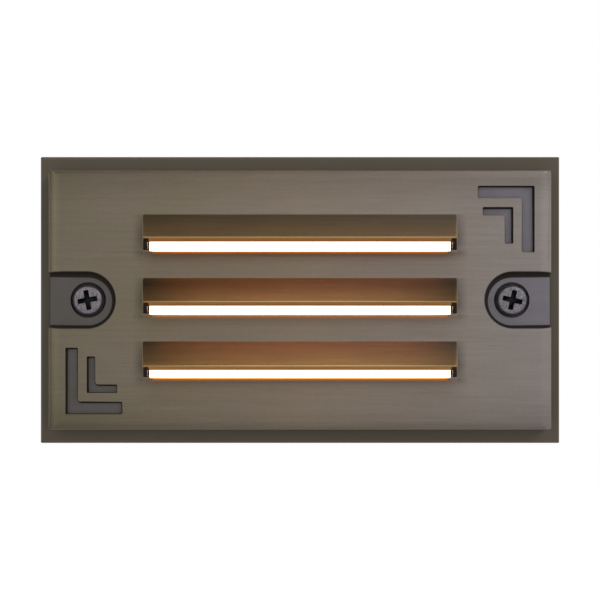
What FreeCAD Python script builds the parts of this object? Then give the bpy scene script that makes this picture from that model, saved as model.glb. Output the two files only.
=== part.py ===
import FreeCAD, Part
import math
import os

# A step light: a louvred cast faceplate on a flanged box that is let into a wall or riser.
# Sizes are in millimetres. X runs to the right along the light, Y into the wall and Z up.
# The origin is the centre of the flange's rear face, so the wall's surface is the plane Y = 0
# and the front of the light looks towards -Y.

# ---------------------------------------------------------------- driving dimensions

# faceplate
PLATE_WIDTH = 138.3
PLATE_HEIGHT = 71.2
PLATE_THICK = 5.0
PLATE_CORNER = 0.5
SIDE_ROLL_WIDTH = 3.6
SIDE_ROLL_DEPTH = 0.75
TOP_ROLL_WIDTH = 2.5
TOP_ROLL_DEPTH = 0.35

# louvres
LOUVRE_COUNT = 3
LOUVRE_TOP_MARGIN = 12.1
LOUVRE_BOTTOM_MARGIN = 14.15
LOUVRE_SIDE_MARGIN = 26.0
LOUVRE_DROP = 10.05
HOOD_PROJECTION = 5.0
HOOD_DROP = 6.6
HOOD_WALL = 2.15
HOOD_END_DRAFT = 0.65
HOOD_EDGE_ROUND = 0.4
CHEEK_WALL = 1.7
CHEEK_DROP = 9.8
SLOT_CORNER = 0.8
SLOT_END_SPREAD = 0.7
SLOT_EDGE_ROUND = 0.7

# notches in the faceplate's ends, where the face screws sit
NOTCH_HALF_HEIGHT = 7.85
NOTCH_DEPTH = 2.0
NOTCH_DRAFT = 0.8
SCREW_INSET = 10.65
COUNTERBORE_RADIUS = 4.8
COUNTERBORE_DEPTH = 1.5

# nested corner brackets recessed in the face
BRACKET_DEPTH = 1.2
BRACKET_INSET_X = 4.7
BRACKET_INSET_Z = 4.2
BRACKET_LENGTH = 15.6
BRACKET_ARM = 3.45
BRACKET_NOTCH_GAP = 5.25
INNER_BRACKET_OFFSET = 5.85
INNER_BRACKET_LENGTH = 8.4
INNER_BRACKET_ARM = 2.35
INNER_BRACKET_SHORTER = 2.4
BRACKET_CORNER = 0.35
BRACKET_HOLLOW_CORNER = 0.8

# back box and its flange
FLANGE_BORDER_X = 3.35
FLANGE_BORDER_Z = 4.4
FLANGE_THICK = 3.0
FLANGE_CORNER = 0.6
FLANGE_EDGE_CHAMFER = 0.35
SEAL_LAND_X = 6.15
SEAL_LAND_Z = 5.1
BOX_WALL = 2.5
BOX_CORNER = 6.0
BOX_DRAFT_DEGREES = 1.5
BOX_REAR_CHAMFER = 2.0
GRIP_RIB_WIDTH = 1.4
GRIP_RIB_HEIGHT = 0.8
GRIP_RIB_INSET = 5.0
GRIP_RIB_SPACING = 34.0
GASKET_THICK = 0.8
GASKET_SETBACK = 0.4

# face screws, M4 x 0.7, with their washers and inserts
SCREW_RADIUS = 1.95
SCREW_LENGTH = 12.0
SCREW_TIP_CHAMFER = 0.5
SCREW_HEAD_RADIUS = 4.1
SCREW_HEAD_HEIGHT = 2.3
SCREW_HEAD_EDGE = 1.0
CROSS_RADIUS = 2.7
CROSS_WIDTH = 1.0
CROSS_DEPTH = 1.4
WASHER_THICK = 0.6
INSERT_LENGTH = 8.0
INSERT_WALL = 1.0
INSERT_FIT = 0.02
SCREW_TIP_ROOM = 0.6
SCREW_BOSS_WALL = 1.3
SCREW_BOSS_FLOOR = 2.5
BOSS_WEB_SHARE = 0.8

# lens and its retainer
LENS_THICK = 2.0
LENS_CORNER = 1.5
LENS_BEYOND_SLOT = 5.55
LENS_BOX_GAP = 4.2
LENS_GASKET_THICK = 0.5
LENS_GASKET_WIDTH = 2.1
RETAINER_THICK = 1.0
RETAINER_LAND = 3.2
RETAINER_BOX_GAP = 1.7
RETAINER_END = 6.2
RETAINER_SCREW_DROP = 6.8
RETAINER_SCREW_INSET = 3.1

# light chamber: reflector, LED board and heat tray
CHAMBER_DEPTH = 12.0
REFLECTOR_START = 1.0
REFLECTOR_WALL = 1.2
REFLECTOR_LENS_GAP_X = 1.0
REFLECTOR_LENS_GAP_Z = 2.8
REFLECTOR_FLARE_X = 11.0
REFLECTOR_FLARE_Z = 8.5
REFLECTOR_RIM = 5.0
REFLECTOR_CORNER = 3.0
PEG_RADIUS = 1.2
PEG_HEAD_RADIUS = 1.7
PEG_HEAD_HEIGHT = 0.9
PEG_INSET = 2.0
BOARD_THICK = 1.6
BOARD_CORNER = 2.0
PAD_THICK = 0.3
LED_WIDTH = 3.5
LED_HEIGHT = 2.8
LED_THICK = 0.7
LED_TAPER = 0.15
LED_INSET_X = 8.0
LED_INSET_Z = 5.0
LED_COLUMN_STEP = 16.0
LED_ROW_COUNT = 3
CONNECTOR_LENGTH = 9.0
CONNECTOR_WIDTH = 6.4
CONNECTOR_HEIGHT = 4.0
CONNECTOR_START_X = -1.0
TRAY_THICK = 2.0
TRAY_CORNER = 2.5
TRAY_LIP_HEIGHT = 6.0
TRAY_LIP_INSET = 13.0
TRAY_FIXING_GAP = 7.0
TRAY_WALL_GAP = 6.9
POST_HALF = 3.5
POST_INSET_X = 4.5
POST_INSET_Z = 4.0

# driver, its leads and the terminal block
LEAD_ROOM = 9.6
LEAD_RADIUS = 0.8
LEAD_SIDES = 6
LEAD_BEND_SHARE = 0.45
LEAD_SPACING = 2.2
LEAD_REACH = 3.0
DRIVER_HEIGHT = 14.0
DRIVER_WIDTH = 30.0
DRIVER_WALL = 1.5
DRIVER_CORNER = 2.5
DRIVER_END_GAP = 21.0
DRIVER_GLAND_GAP = 22.0
DRIVER_EAR_LENGTH = 7.0
DRIVER_EAR_WIDTH = 7.0
DRIVER_EAR_THICK = 2.0
DRIVER_EAR_BOSS = 5.0
POTTING_SETBACK = 0.8
OUTPUT_LEAD_INSET = 12.0
INPUT_LEAD_INSET = 21.0
INPUT_LEAD_STEP = 5.0
INPUT_LEAD_RISE = 6.0
TERMINAL_LENGTH = 11.0
TERMINAL_WIDTH = 11.0
TERMINAL_HEIGHT = 11.0
TERMINAL_PITCH = 5.0
TERMINAL_GAP = 2.5
TERMINAL_LEAD_RUN = 11.5
TERMINAL_SCREW_RADIUS = 1.5
TERMINAL_SCREW_SINK = 1.2
TERMINAL_SLOT_DEPTH = 0.6
EARTH_BOSS_RADIUS = 3.5
EARTH_BOSS_HEIGHT = 5.0
EARTH_X = 6.0
EARTH_FLOOR_GAP = 7.4

# fixing holes through the box's rear wall
FIXING_RADIUS = 2.25
FIXING_INSET_X = 8.0
FIXING_INSET_Z = 10.5

# cable gland, M16
GLAND_INSET = 23.0
GLAND_THREAD_RADIUS = 8.0
GLAND_NECK_RADIUS = 7.2
GLAND_FLATS = 20.0
GLAND_NUT_FLATS = 19.0
GLAND_HEX_THICK = 4.5
GLAND_WASHER_THICK = 1.2
GLAND_NECK_LENGTH = 9.0
GLAND_BORE_RADIUS = 4.5
GLAND_BUSH_BORE = 3.4
GLAND_BUSH_WALL = 2.3
GLAND_BUSH_LENGTH = 8.0
GLAND_NUT_LENGTH = 12.0
GLAND_HEX_LENGTH = 7.0
GLAND_NUT_WALL = 1.2
GLAND_MOUTH_RADIUS = 4.6
LOCK_NUT_THICK = 4.0
LOCK_NUT_FLATS = 22.0
THREAD_BEYOND_NUT = 0.4

# small screws inside the box: M2.5, M3 and the M4 earth screw
M25_RADIUS = 1.2
M25_HEAD_RADIUS = 2.25
M25_HEAD_HEIGHT = 1.7
M25_BITE = 2.8
M3_RADIUS = 1.45
M3_HEAD_RADIUS = 2.75
M3_HEAD_HEIGHT = 2.0
M3_BITE = 8.0
M3_SHORT_BITE = 6.0
M4_RADIUS = 1.95
M4_BITE = 5.5
BOARD_SCREW_GAP = 0.6
EARTH_WASHER_HALF = 4.6
EARTH_WASHER_THICK = 1.0
TERMINAL_SCREW_LENGTH = 3.2

# clearances
RUNNING_GAP = 0.05
LOOSE_GAP = 0.3
POCKET_GAP = 0.4
SMALL_GAP = 0.1
CUT_BEYOND = 1.0

# ---------------------------------------------------------------- places that follow

PLATE_BACK = -FLANGE_THICK - GASKET_THICK
FACE = PLATE_BACK - PLATE_THICK
LENS_FRONT = PLATE_BACK - LENS_THICK
POCKET_FLOOR = LENS_FRONT - LENS_GASKET_THICK
NOTCH_FLOOR = FACE + NOTCH_DEPTH
COUNTERBORE_FLOOR = NOTCH_FLOOR + COUNTERBORE_DEPTH
SCREW_X = PLATE_WIDTH / 2 - SCREW_INSET
HEAD_SEAT = COUNTERBORE_FLOOR - WASHER_THICK
SCREW_TIP = HEAD_SEAT + SCREW_LENGTH

FLANGE_WIDTH = PLATE_WIDTH + 2 * FLANGE_BORDER_X
FLANGE_HEIGHT = PLATE_HEIGHT + 2 * FLANGE_BORDER_Z
MOUTH_WIDTH = PLATE_WIDTH - 2 * SEAL_LAND_X
MOUTH_HEIGHT = PLATE_HEIGHT - 2 * SEAL_LAND_Z

LENS_WIDTH = PLATE_WIDTH - 2 * LOUVRE_SIDE_MARGIN - 2 * CHEEK_WALL + 2 * LENS_BEYOND_SLOT
LENS_HEIGHT = MOUTH_HEIGHT - 2 * LENS_BOX_GAP
RETAINER_BACK = PLATE_BACK + RETAINER_THICK

CHAMBER_WIDTH = LENS_WIDTH - 2 * REFLECTOR_LENS_GAP_X
CHAMBER_HEIGHT = LENS_HEIGHT - 2 * REFLECTOR_LENS_GAP_Z
CHAMBER_BACK_WIDTH = CHAMBER_WIDTH - 2 * REFLECTOR_FLARE_X
CHAMBER_BACK_HEIGHT = CHAMBER_HEIGHT - 2 * REFLECTOR_FLARE_Z
BOARD_WIDTH = CHAMBER_BACK_WIDTH + 2 * REFLECTOR_RIM
BOARD_HEIGHT = CHAMBER_BACK_HEIGHT + 2 * REFLECTOR_RIM
BOARD_BACK = CHAMBER_DEPTH + BOARD_THICK
TRAY_FRONT = BOARD_BACK + PAD_THICK
TRAY_BACK = TRAY_FRONT + TRAY_THICK
DRIVER_FRONT = TRAY_BACK + LEAD_ROOM
FLOOR = DRIVER_FRONT + DRIVER_HEIGHT
BOX_BACK = FLOOR + BOX_WALL


def drafted(size, depth):
    """A size across the box after the walls have leaned in over a depth."""
    return size - 2 * depth * math.tan(math.radians(BOX_DRAFT_DEGREES))


FLOOR_WIDTH = drafted(MOUTH_WIDTH, FLOOR + FLANGE_THICK)
FLOOR_HEIGHT = drafted(MOUTH_HEIGHT, FLOOR + FLANGE_THICK)
FIXING_X = MOUTH_WIDTH / 2 - FIXING_INSET_X
FIXING_Z = MOUTH_HEIGHT / 2 - FIXING_INSET_Z
TRAY_WIDTH = 2 * (FIXING_X - TRAY_FIXING_GAP)
TRAY_HEIGHT = MOUTH_HEIGHT - 2 * TRAY_WALL_GAP
POST_X = TRAY_WIDTH / 2 - POST_INSET_X
POST_Z = TRAY_HEIGHT / 2 - POST_INSET_Z
GLAND_X = MOUTH_WIDTH / 2 - GLAND_INSET
DRIVER_LEFT = -MOUTH_WIDTH / 2 + DRIVER_END_GAP
DRIVER_RIGHT = GLAND_X - DRIVER_GLAND_GAP
DRIVER_X = (DRIVER_LEFT + DRIVER_RIGHT) / 2
DRIVER_LENGTH = DRIVER_RIGHT - DRIVER_LEFT


# ---------------------------------------------------------------- shapes used more than once

def at(x, y, z):
    """A point."""
    return FreeCAD.Vector(x, y, z)


def outline(points):
    """A closed wire. A point is a corner, and a pair is an arc through the first to the second."""
    edges = []
    last = points[-1][-1] if isinstance(points[-1], tuple) else points[-1]
    for point in points:
        if isinstance(point, tuple):
            middle, end = point
            edges.append(Part.Arc(last, middle, end).toShape())
        else:
            end = point
            edges.append(Part.makeLine(last, end))
        last = end
    return Part.Wire(edges)


def round_corner(x, y, z, radius, start_degrees):
    """Start, middle and end of a quarter turn about a centre, square to Y."""
    turns = [math.radians(start_degrees + step) for step in (0, 45, 90)]
    return [at(x + radius * math.cos(a), y, z + radius * math.sin(a)) for a in turns]


def rounded_outline(width, height, radius, y, centre=(0.0, 0.0)):
    """A rectangle with round corners, or sharp ones at no radius, square to Y."""
    x, z = width / 2 - radius, height / 2 - radius
    if not radius:
        return outline([at(centre[0] + i, y, centre[1] + j) for i, j in four_corners(x, z)])
    points = []
    for side_x, side_z, start in ((x, z, 0), (-x, z, 90), (-x, -z, 180), (x, -z, 270)):
        first, middle, end = round_corner(centre[0] + side_x, y, centre[1] + side_z, radius, start)
        points.append(first)
        points.append((middle, end))
    return outline(points)


def prism(wire, direction):
    """The solid that a flat closed wire sweeps along a direction."""
    return Part.Face(wire).extrude(direction)


def slab(width, height, radius, front, back, centre=(0.0, 0.0)):
    """A plate with round corners between two depths."""
    return prism(rounded_outline(width, height, radius, front, centre), at(0, back - front, 0))


def tapered_block(front_size, back_size, radius, front, back, centre=(0.0, 0.0)):
    """A block with four leaning sides and round corners, between two depths."""
    (front_x, front_z), (back_x, back_z) = [(w / 2, h / 2) for w, h in (front_size, back_size)]
    x, z = centre
    tall, wide = max(front_z, back_z), max(front_x, back_x)
    plan = outline([
        at(x - front_x, front, z - tall),
        at(x + front_x, front, z - tall),
        at(x + back_x, back, z - tall),
        at(x - back_x, back, z - tall),
    ])
    side = outline([
        at(x - wide, front, z - front_z),
        at(x - wide, front, z + front_z),
        at(x - wide, back, z + back_z),
        at(x - wide, back, z - back_z),
    ])
    solid = prism(plan, at(0, 0, 2 * tall)).common(prism(side, at(2 * wide, 0, 0)))
    long_edges = [edge for edge in solid.Edges if edge.BoundBox.YLength > (back - front) * 0.9]
    return solid.makeFillet(radius, long_edges) if radius else solid


def rod(radius, front, back, centre):
    """A round bar along Y."""
    return Part.makeCylinder(radius, back - front, at(centre[0], front, centre[1]), at(0, 1, 0))


def hole(radius, front, back, centre):
    """A round cutter along Y that runs a little past both depths."""
    return rod(radius, front - CUT_BEYOND, back + CUT_BEYOND, centre)


def blind_hole(radius, mouth, depth, centre):
    """A round cutter along Y that starts a little before its mouth and ends at its depth."""
    return rod(radius, mouth - CUT_BEYOND, mouth + depth, centre)


def tube(radius, bore, front, back, centre):
    """A round bar along Y with a hole through it."""
    return rod(radius, front, back, centre).cut(rod(bore, front, back, centre))


def turned(points, centre):
    """A solid of revolution about an axis along Y, from its (radius, y) outline."""
    place = [
        tuple(at(r, y, 0) for r, y in point) if isinstance(point[0], tuple) else at(point[0], point[1], 0)
        for point in points
    ]
    solid = Part.Face(outline(place)).revolve(at(0, 0, 0), at(0, 1, 0), 360)
    solid.translate(at(centre[0], 0, centre[1]))
    return solid


def hexagon(flats, front, back, centre):
    """A hexagonal bar along Y with two flats level."""
    corner = flats / math.sqrt(3)
    turns = [math.radians(60 * step) for step in range(6)]
    points = [at(centre[0] + corner * math.cos(a), front, centre[1] + corner * math.sin(a)) for a in turns]
    return prism(outline(points), at(0, back - front, 0))


def side_prism(points, half_width):
    """The solid of a (y, z) outline swept across the light, from -half_width to half_width."""
    place = [
        tuple(at(-half_width, y, z) for y, z in point)
        if isinstance(point[0], tuple) else at(-half_width, point[0], point[1])
        for point in points
    ]
    return prism(outline(place), at(2 * half_width, 0, 0))


def block(x_range, y_range, z_range):
    """A plain box between three pairs of limits."""
    sizes = [high - low for low, high in (x_range, y_range, z_range)]
    return Part.makeBox(*sizes, at(x_range[0], y_range[0], z_range[0]))


def fused(shapes):
    """Several overlapping solids made one."""
    return shapes[0].fuse(shapes[1:]).removeSplitter()


def four_corners(x, z):
    """The four places at plus and minus x and z."""
    return [(x, z), (-x, z), (-x, -z), (x, -z)]


def small_screw(radius, length, head_radius, head_height, seat, centre):
    """A screw that points into the wall, with the underside of its head at a depth."""
    return rod(head_radius, seat - head_height, seat, centre).fuse(rod(radius, seat, seat + length, centre))


def lead_section(centre, direction, level):
    """The six-sided section of a lead, square to its direction, with two flats along its level."""
    across = level.cross(direction)
    corners = []
    for side in range(LEAD_SIDES):
        turn = 2 * math.pi * (side + 0.5) / LEAD_SIDES
        corners.append(centre + (level * math.cos(turn) + across * math.sin(turn)) * LEAD_RADIUS)
    return Part.Face(outline(corners))


def lead(points, name):
    """A lead of straight runs in one plane, joined by tangent arcs as wide as the shorter run allows."""
    level = (points[1] - points[0]).cross(points[2] - points[1]).normalize()
    solids = []
    radii = []
    length = 0.0
    start = points[0]
    for before, corner, after in zip(points, points[1:], points[2:]):
        run_in, run_out = corner - before, after - corner
        reach = LEAD_BEND_SHARE * min(run_in.Length, run_out.Length)
        turn = run_in.getAngle(run_out)
        radius = reach / math.tan(turn / 2)
        axis = run_in.cross(run_out).normalize()
        toward, onward = run_in.normalize(), run_out.normalize()
        first, last = corner - toward * reach, corner + onward * reach
        centre = first + axis.cross(toward) * radius
        solids.append(lead_section(start, toward, level).extrude(first - start))
        solids.append(lead_section(first, toward, level).revolve(centre, axis, math.degrees(turn)))
        length += (first - start).Length + radius * turn
        radii.append(round(radius, 2))
        start = last
    solids.append(lead_section(start, onward, level).extrude(points[-1] - start))
    length += (points[-1] - start).Length
    solid = fused(solids)
    ratio = solid.Volume / (lead_section(start, onward, level).Area * length)
    print(f"{name}: length {length:.1f} mm, bend radii {radii} mm")
    print(f"{name}: volume over section x length {ratio:.4f}")
    return solid


# ---------------------------------------------------------------- faceplate

def rolled_bar(half_size, roll_width, roll_depth, half_length, place):
    """A bar as thick as the faceplate whose two front edges roll back, swept along the other direction."""
    bend = (roll_width ** 2 + roll_depth ** 2) / (2 * roll_depth)
    half_turn = math.asin(roll_width / bend) / 2
    flat = half_size - roll_width
    middle = flat + bend * math.sin(half_turn)
    middle_y = FACE + bend * (1 - math.cos(half_turn))
    edge_y = FACE + roll_depth
    wire = outline([
        place(flat, FACE, -half_length),
        (place(middle, middle_y, -half_length), place(half_size, edge_y, -half_length)),
        place(half_size, PLATE_BACK, -half_length),
        place(-half_size, PLATE_BACK, -half_length),
        place(-half_size, edge_y, -half_length),
        (place(-middle, middle_y, -half_length), place(-flat, FACE, -half_length)),
    ])
    return prism(wire, place(0, 0, 2 * half_length))


def rolled_plate():
    """The faceplate's blank, with all four front edges rolled back a little."""
    across = rolled_bar(PLATE_WIDTH / 2, SIDE_ROLL_WIDTH, SIDE_ROLL_DEPTH, PLATE_HEIGHT / 2,
                        lambda u, y, v: at(u, y, v))
    upright = rolled_bar(PLATE_HEIGHT / 2, TOP_ROLL_WIDTH, TOP_ROLL_DEPTH, PLATE_WIDTH / 2,
                         lambda u, y, v: at(v, y, u))
    corners = slab(PLATE_WIDTH, PLATE_HEIGHT, PLATE_CORNER, FACE - CUT_BEYOND, PLATE_BACK)
    return across.common(upright).common(corners)


def louvre_tops():
    """The height of each hood's upper edge, from the top one down."""
    first = PLATE_HEIGHT / 2 - LOUVRE_TOP_MARGIN
    room = PLATE_HEIGHT - LOUVRE_TOP_MARGIN - LOUVRE_BOTTOM_MARGIN - LOUVRE_DROP
    pitch = room / (LOUVRE_COUNT - 1)
    return [first - pitch * number for number in range(LOUVRE_COUNT)]


def hood(top):
    """The outside of one hood: a slope that comes forward as it falls, and cheeks back to the face."""
    half = PLATE_WIDTH / 2 - LOUVRE_SIDE_MARGIN
    lip_y = FACE - HOOD_PROJECTION
    body = side_prism([
        (POCKET_FLOOR, top),
        (FACE, top),
        (lip_y, top - HOOD_DROP),
        (FACE, top - CHEEK_DROP),
        (POCKET_FLOOR, top - CHEEK_DROP),
    ], half + HOOD_END_DRAFT)
    spread = HOOD_END_DRAFT * (POCKET_FLOOR - FACE) / HOOD_PROJECTION
    tall = 2 * CHEEK_DROP
    ends = tapered_block((2 * (half - HOOD_END_DRAFT), tall), (2 * (half + spread), tall), 0,
                         lip_y, POCKET_FLOOR, (0.0, top - CHEEK_DROP / 2))
    drafted = body.common(ends)
    lip_and_ends = [edge for edge in drafted.Edges if on_hood_rim(edge, lip_y, top)]
    return drafted.makeFillet(HOOD_EDGE_ROUND, lip_and_ends)


def on_hood_rim(edge, lip_y, top):
    """Whether an edge is the hood's front lip or one of the slope's two ends."""
    lip = at(0, lip_y, top - HOOD_DROP)
    ends = [vertex.Point for vertex in edge.Vertexes]
    at_lip = [abs(point.y - lip.y) < SMALL_GAP and abs(point.z - lip.z) < SMALL_GAP for point in ends]
    at_root = [abs(point.z - top) < SMALL_GAP for point in ends]
    return all(at_lip) or (any(at_lip) and any(at_root))


def louvre_space(top):
    """The open space of one hood: up inside the slope, through the face and out under the lip."""
    half = PLATE_WIDTH / 2 - LOUVRE_SIDE_MARGIN - CHEEK_WALL
    slope = math.hypot(HOOD_PROJECTION, HOOD_DROP)
    inward_y, inward_z = HOOD_DROP / slope, -HOOD_PROJECTION / slope
    lip_y, lip_z = FACE - HOOD_PROJECTION, top - HOOD_DROP
    inner_y, inner_z = lip_y + HOOD_WALL * inward_y, lip_z + HOOD_WALL * inward_z
    back_y = POCKET_FLOOR + CUT_BEYOND
    back_z = inner_z + (back_y - inner_y) * HOOD_DROP / HOOD_PROJECTION
    bottom = top - LOUVRE_DROP
    under = side_prism([
        (inner_y, inner_z),
        (back_y, back_z),
        (back_y, bottom),
        (lip_y - CUT_BEYOND, bottom),
        (lip_y - CUT_BEYOND * inward_y, lip_z - CUT_BEYOND * inward_z),
    ], half + SLOT_END_SPREAD)
    tall = 2 * LOUVRE_DROP
    corners = tapered_block((2 * half, tall), (2 * (half + SLOT_END_SPREAD), tall), SLOT_CORNER,
                            lip_y - 2 * CUT_BEYOND, back_y + CUT_BEYOND, (0.0, bottom + tall / 2))
    turn = SLOT_EDGE_ROUND * (1 - math.sqrt(0.5))
    edge = side_prism([
        (FACE + SLOT_EDGE_ROUND, bottom),
        ((FACE + turn, bottom - turn), (FACE, bottom - SLOT_EDGE_ROUND)),
        (FACE - CUT_BEYOND, bottom - SLOT_EDGE_ROUND),
        (FACE - CUT_BEYOND, bottom + SLOT_EDGE_ROUND),
        (FACE + SLOT_EDGE_ROUND, bottom + SLOT_EDGE_ROUND),
    ], half - SLOT_CORNER)
    return under.common(corners).fuse(edge)


def screw_notch(side):
    """The D-shaped recess at one end of the face, with the screw's stepped hole."""
    front = FACE - CUT_BEYOND
    half_front = NOTCH_HALF_HEIGHT + CUT_BEYOND * NOTCH_DRAFT / NOTCH_DEPTH
    half_floor = NOTCH_HALF_HEIGHT - NOTCH_DRAFT
    centre = (side * SCREW_X, 0.0)
    bowl = Part.makeCone(half_front, half_floor, NOTCH_FLOOR - front,
                         at(side * SCREW_X, front, 0), at(0, 1, 0))
    channel = prism(outline([
        at(side * SCREW_X, front, -half_front),
        at(side * SCREW_X, front, half_front),
        at(side * SCREW_X, NOTCH_FLOOR, half_floor),
        at(side * SCREW_X, NOTCH_FLOOR, -half_floor),
    ]), at(side * (SCREW_INSET + CUT_BEYOND), 0, 0))
    seat = rod(COUNTERBORE_RADIUS, NOTCH_FLOOR - CUT_BEYOND, COUNTERBORE_FLOOR, centre)
    return fused([bowl, channel, seat, hole(SCREW_RADIUS + LOOSE_GAP, NOTCH_FLOOR, PLATE_BACK, centre)])


def bracket(corner_x, corner_z, length, leg, arm):
    """One right-angle bracket, from its outer corner, sunk into the face."""
    y = FACE - CUT_BEYOND
    wire = outline([
        at(corner_x, y, corner_z),
        at(corner_x - length, y, corner_z),
        at(corner_x - length, y, corner_z - arm),
        at(corner_x - arm, y, corner_z - arm),
        at(corner_x - arm, y, corner_z - leg),
        at(corner_x, y, corner_z - leg),
    ])
    solid = prism(wire, at(0, BRACKET_DEPTH + CUT_BEYOND, 0))
    upright = [edge for edge in solid.Edges if abs(edge.BoundBox.YLength) > BRACKET_DEPTH]
    hollow = at(corner_x - arm, 0, corner_z - arm)
    inner = [edge for edge in upright if math.hypot(edge.CenterOfMass.x - hollow.x,
                                                    edge.CenterOfMass.z - hollow.z) < SMALL_GAP]
    outer = [edge for edge in upright if all(not edge.isSame(other) for other in inner)]
    rounded = solid.makeFillet(BRACKET_CORNER, outer)
    upright = [edge for edge in rounded.Edges if abs(edge.BoundBox.YLength) > BRACKET_DEPTH]
    inner = [edge for edge in upright if math.hypot(edge.CenterOfMass.x - hollow.x,
                                                    edge.CenterOfMass.z - hollow.z) < SMALL_GAP]
    return rounded.makeFillet(BRACKET_HOLLOW_CORNER, inner)


def corner_brackets():
    """The nested pair at the upper right corner, and the same turned half round at the lower left."""
    x = PLATE_WIDTH / 2 - BRACKET_INSET_X
    z = PLATE_HEIGHT / 2 - BRACKET_INSET_Z
    leg = z - NOTCH_HALF_HEIGHT - BRACKET_NOTCH_GAP
    inner_leg = leg - INNER_BRACKET_OFFSET - INNER_BRACKET_SHORTER
    outer_bracket = bracket(x, z, BRACKET_LENGTH, leg, BRACKET_ARM)
    inner_bracket = bracket(x - INNER_BRACKET_OFFSET, z - INNER_BRACKET_OFFSET,
                            INNER_BRACKET_LENGTH, inner_leg, INNER_BRACKET_ARM)
    pair = [outer_bracket, inner_bracket]
    turned_pair = []
    for shape in pair:
        copy = shape.copy()
        copy.rotate(at(0, 0, 0), at(0, 1, 0), 180)
        turned_pair.append(copy)
    return pair + turned_pair


def retainer_screw_places():
    """Where the retainer's screws go, in the plate's solid ends beside the lens."""
    return four_corners(LENS_WIDTH / 2 + RETAINER_SCREW_INSET, LENS_HEIGHT / 2 - RETAINER_SCREW_DROP)


def make_faceplate():
    """The cast plate with its hoods, slots, notches, brackets, lens pocket and tapped holes."""
    plate = rolled_plate().fuse([hood(top) for top in louvre_tops()])
    pocket = slab(LENS_WIDTH + 2 * POCKET_GAP, LENS_HEIGHT + 2 * POCKET_GAP, LENS_CORNER + POCKET_GAP,
                  POCKET_FLOOR, PLATE_BACK + CUT_BEYOND)
    tapped = [rod(M25_RADIUS + RUNNING_GAP, PLATE_BACK - M25_BITE, PLATE_BACK + CUT_BEYOND, place)
              for place in retainer_screw_places()]
    cuts = [louvre_space(top) for top in louvre_tops()]
    cuts += [screw_notch(-1), screw_notch(1), pocket]
    return plate.cut(cuts + corner_brackets() + tapped).removeSplitter()


# ---------------------------------------------------------------- lens and what holds it

def make_lens():
    """The frosted pane behind the louvres."""
    return slab(LENS_WIDTH, LENS_HEIGHT, LENS_CORNER, LENS_FRONT, PLATE_BACK)


def make_lens_gasket():
    """The flat ring between the pocket's floor and the lens."""
    ring = slab(LENS_WIDTH, LENS_HEIGHT, LENS_CORNER, POCKET_FLOOR, LENS_FRONT)
    hollow = slab(LENS_WIDTH - 2 * LENS_GASKET_WIDTH, LENS_HEIGHT - 2 * LENS_GASKET_WIDTH, 0,
                  POCKET_FLOOR - CUT_BEYOND, LENS_FRONT + CUT_BEYOND)
    return ring.cut(hollow)


def make_lens_retainer():
    """The pressed frame across the lens's edge, screwed to the back of the plate."""
    width, height = LENS_WIDTH + 2 * RETAINER_END, MOUTH_HEIGHT - 2 * RETAINER_BOX_GAP
    frame = slab(width, height, BOARD_CORNER, PLATE_BACK, RETAINER_BACK)
    window = slab(LENS_WIDTH - 2 * RETAINER_LAND, LENS_HEIGHT - 2 * RETAINER_LAND, 0,
                  PLATE_BACK - CUT_BEYOND, RETAINER_BACK + CUT_BEYOND)
    holes = [hole(M25_RADIUS + SMALL_GAP, PLATE_BACK, RETAINER_BACK, place)
             for place in retainer_screw_places()]
    return frame.cut([window] + holes)


def make_retainer_screws():
    """Four screws driven from behind, heads towards the box."""
    tip = PLATE_BACK - M25_BITE
    return Part.makeCompound([
        rod(M25_RADIUS, tip, RETAINER_BACK, place).fuse(
            rod(M25_HEAD_RADIUS, RETAINER_BACK, RETAINER_BACK + M25_HEAD_HEIGHT, place))
        for place in retainer_screw_places()
    ])


# ---------------------------------------------------------------- face screws

def make_face_screw(side):
    """One pan head screw with a cross recess, held in the notch at one end of the plate."""
    centre = (side * SCREW_X, 0.0)
    top = HEAD_SEAT - SCREW_HEAD_HEIGHT
    crown = SCREW_HEAD_HEIGHT - SCREW_HEAD_EDGE
    body = turned([
        (0, top),
        (CROSS_RADIUS, top),
        (SCREW_HEAD_RADIUS, top + crown),
        (SCREW_HEAD_RADIUS, HEAD_SEAT),
        (SCREW_RADIUS, HEAD_SEAT),
        (SCREW_RADIUS, SCREW_TIP - SCREW_TIP_CHAMFER),
        (SCREW_RADIUS - SCREW_TIP_CHAMFER, SCREW_TIP),
        (0, SCREW_TIP),
    ], centre)
    half = CROSS_WIDTH / 2
    arm = side_prism([
        (top - CUT_BEYOND, -CROSS_RADIUS),
        (top, -CROSS_RADIUS),
        (top + CROSS_DEPTH, -half),
        (top + CROSS_DEPTH, half),
        (top, CROSS_RADIUS),
        (top - CUT_BEYOND, CROSS_RADIUS),
    ], half)
    other_arm = arm.copy()
    other_arm.rotate(at(0, 0, 0), at(0, 1, 0), 90)
    cross = arm.fuse(other_arm)
    cross.translate(at(centre[0], 0, 0))
    return body.cut(cross)


def make_seal_washer(side):
    """The ring under the screw's head that closes the stepped hole."""
    centre = (side * SCREW_X, 0.0)
    outside, bore = COUNTERBORE_RADIUS - LOOSE_GAP, SCREW_RADIUS + RUNNING_GAP
    return tube(outside, bore, HEAD_SEAT, COUNTERBORE_FLOOR, centre)


def insert_radius():
    """The outside of the threaded inserts."""
    return SCREW_RADIUS + RUNNING_GAP + INSERT_WALL


def make_screw_inserts():
    """Two threaded sleeves, sunk flush in the box's bosses."""
    sleeves = []
    for side in (-1, 1):
        bore = SCREW_RADIUS + RUNNING_GAP
        front, back = -FLANGE_THICK, -FLANGE_THICK + INSERT_LENGTH
        sleeves.append(tube(insert_radius(), bore, front, back, (side * SCREW_X, 0.0)))
    return Part.makeCompound(sleeves)


# ---------------------------------------------------------------- back box

def boss_radius():
    """The outside of the bosses round the threaded inserts."""
    return insert_radius() + SCREW_BOSS_WALL


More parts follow.
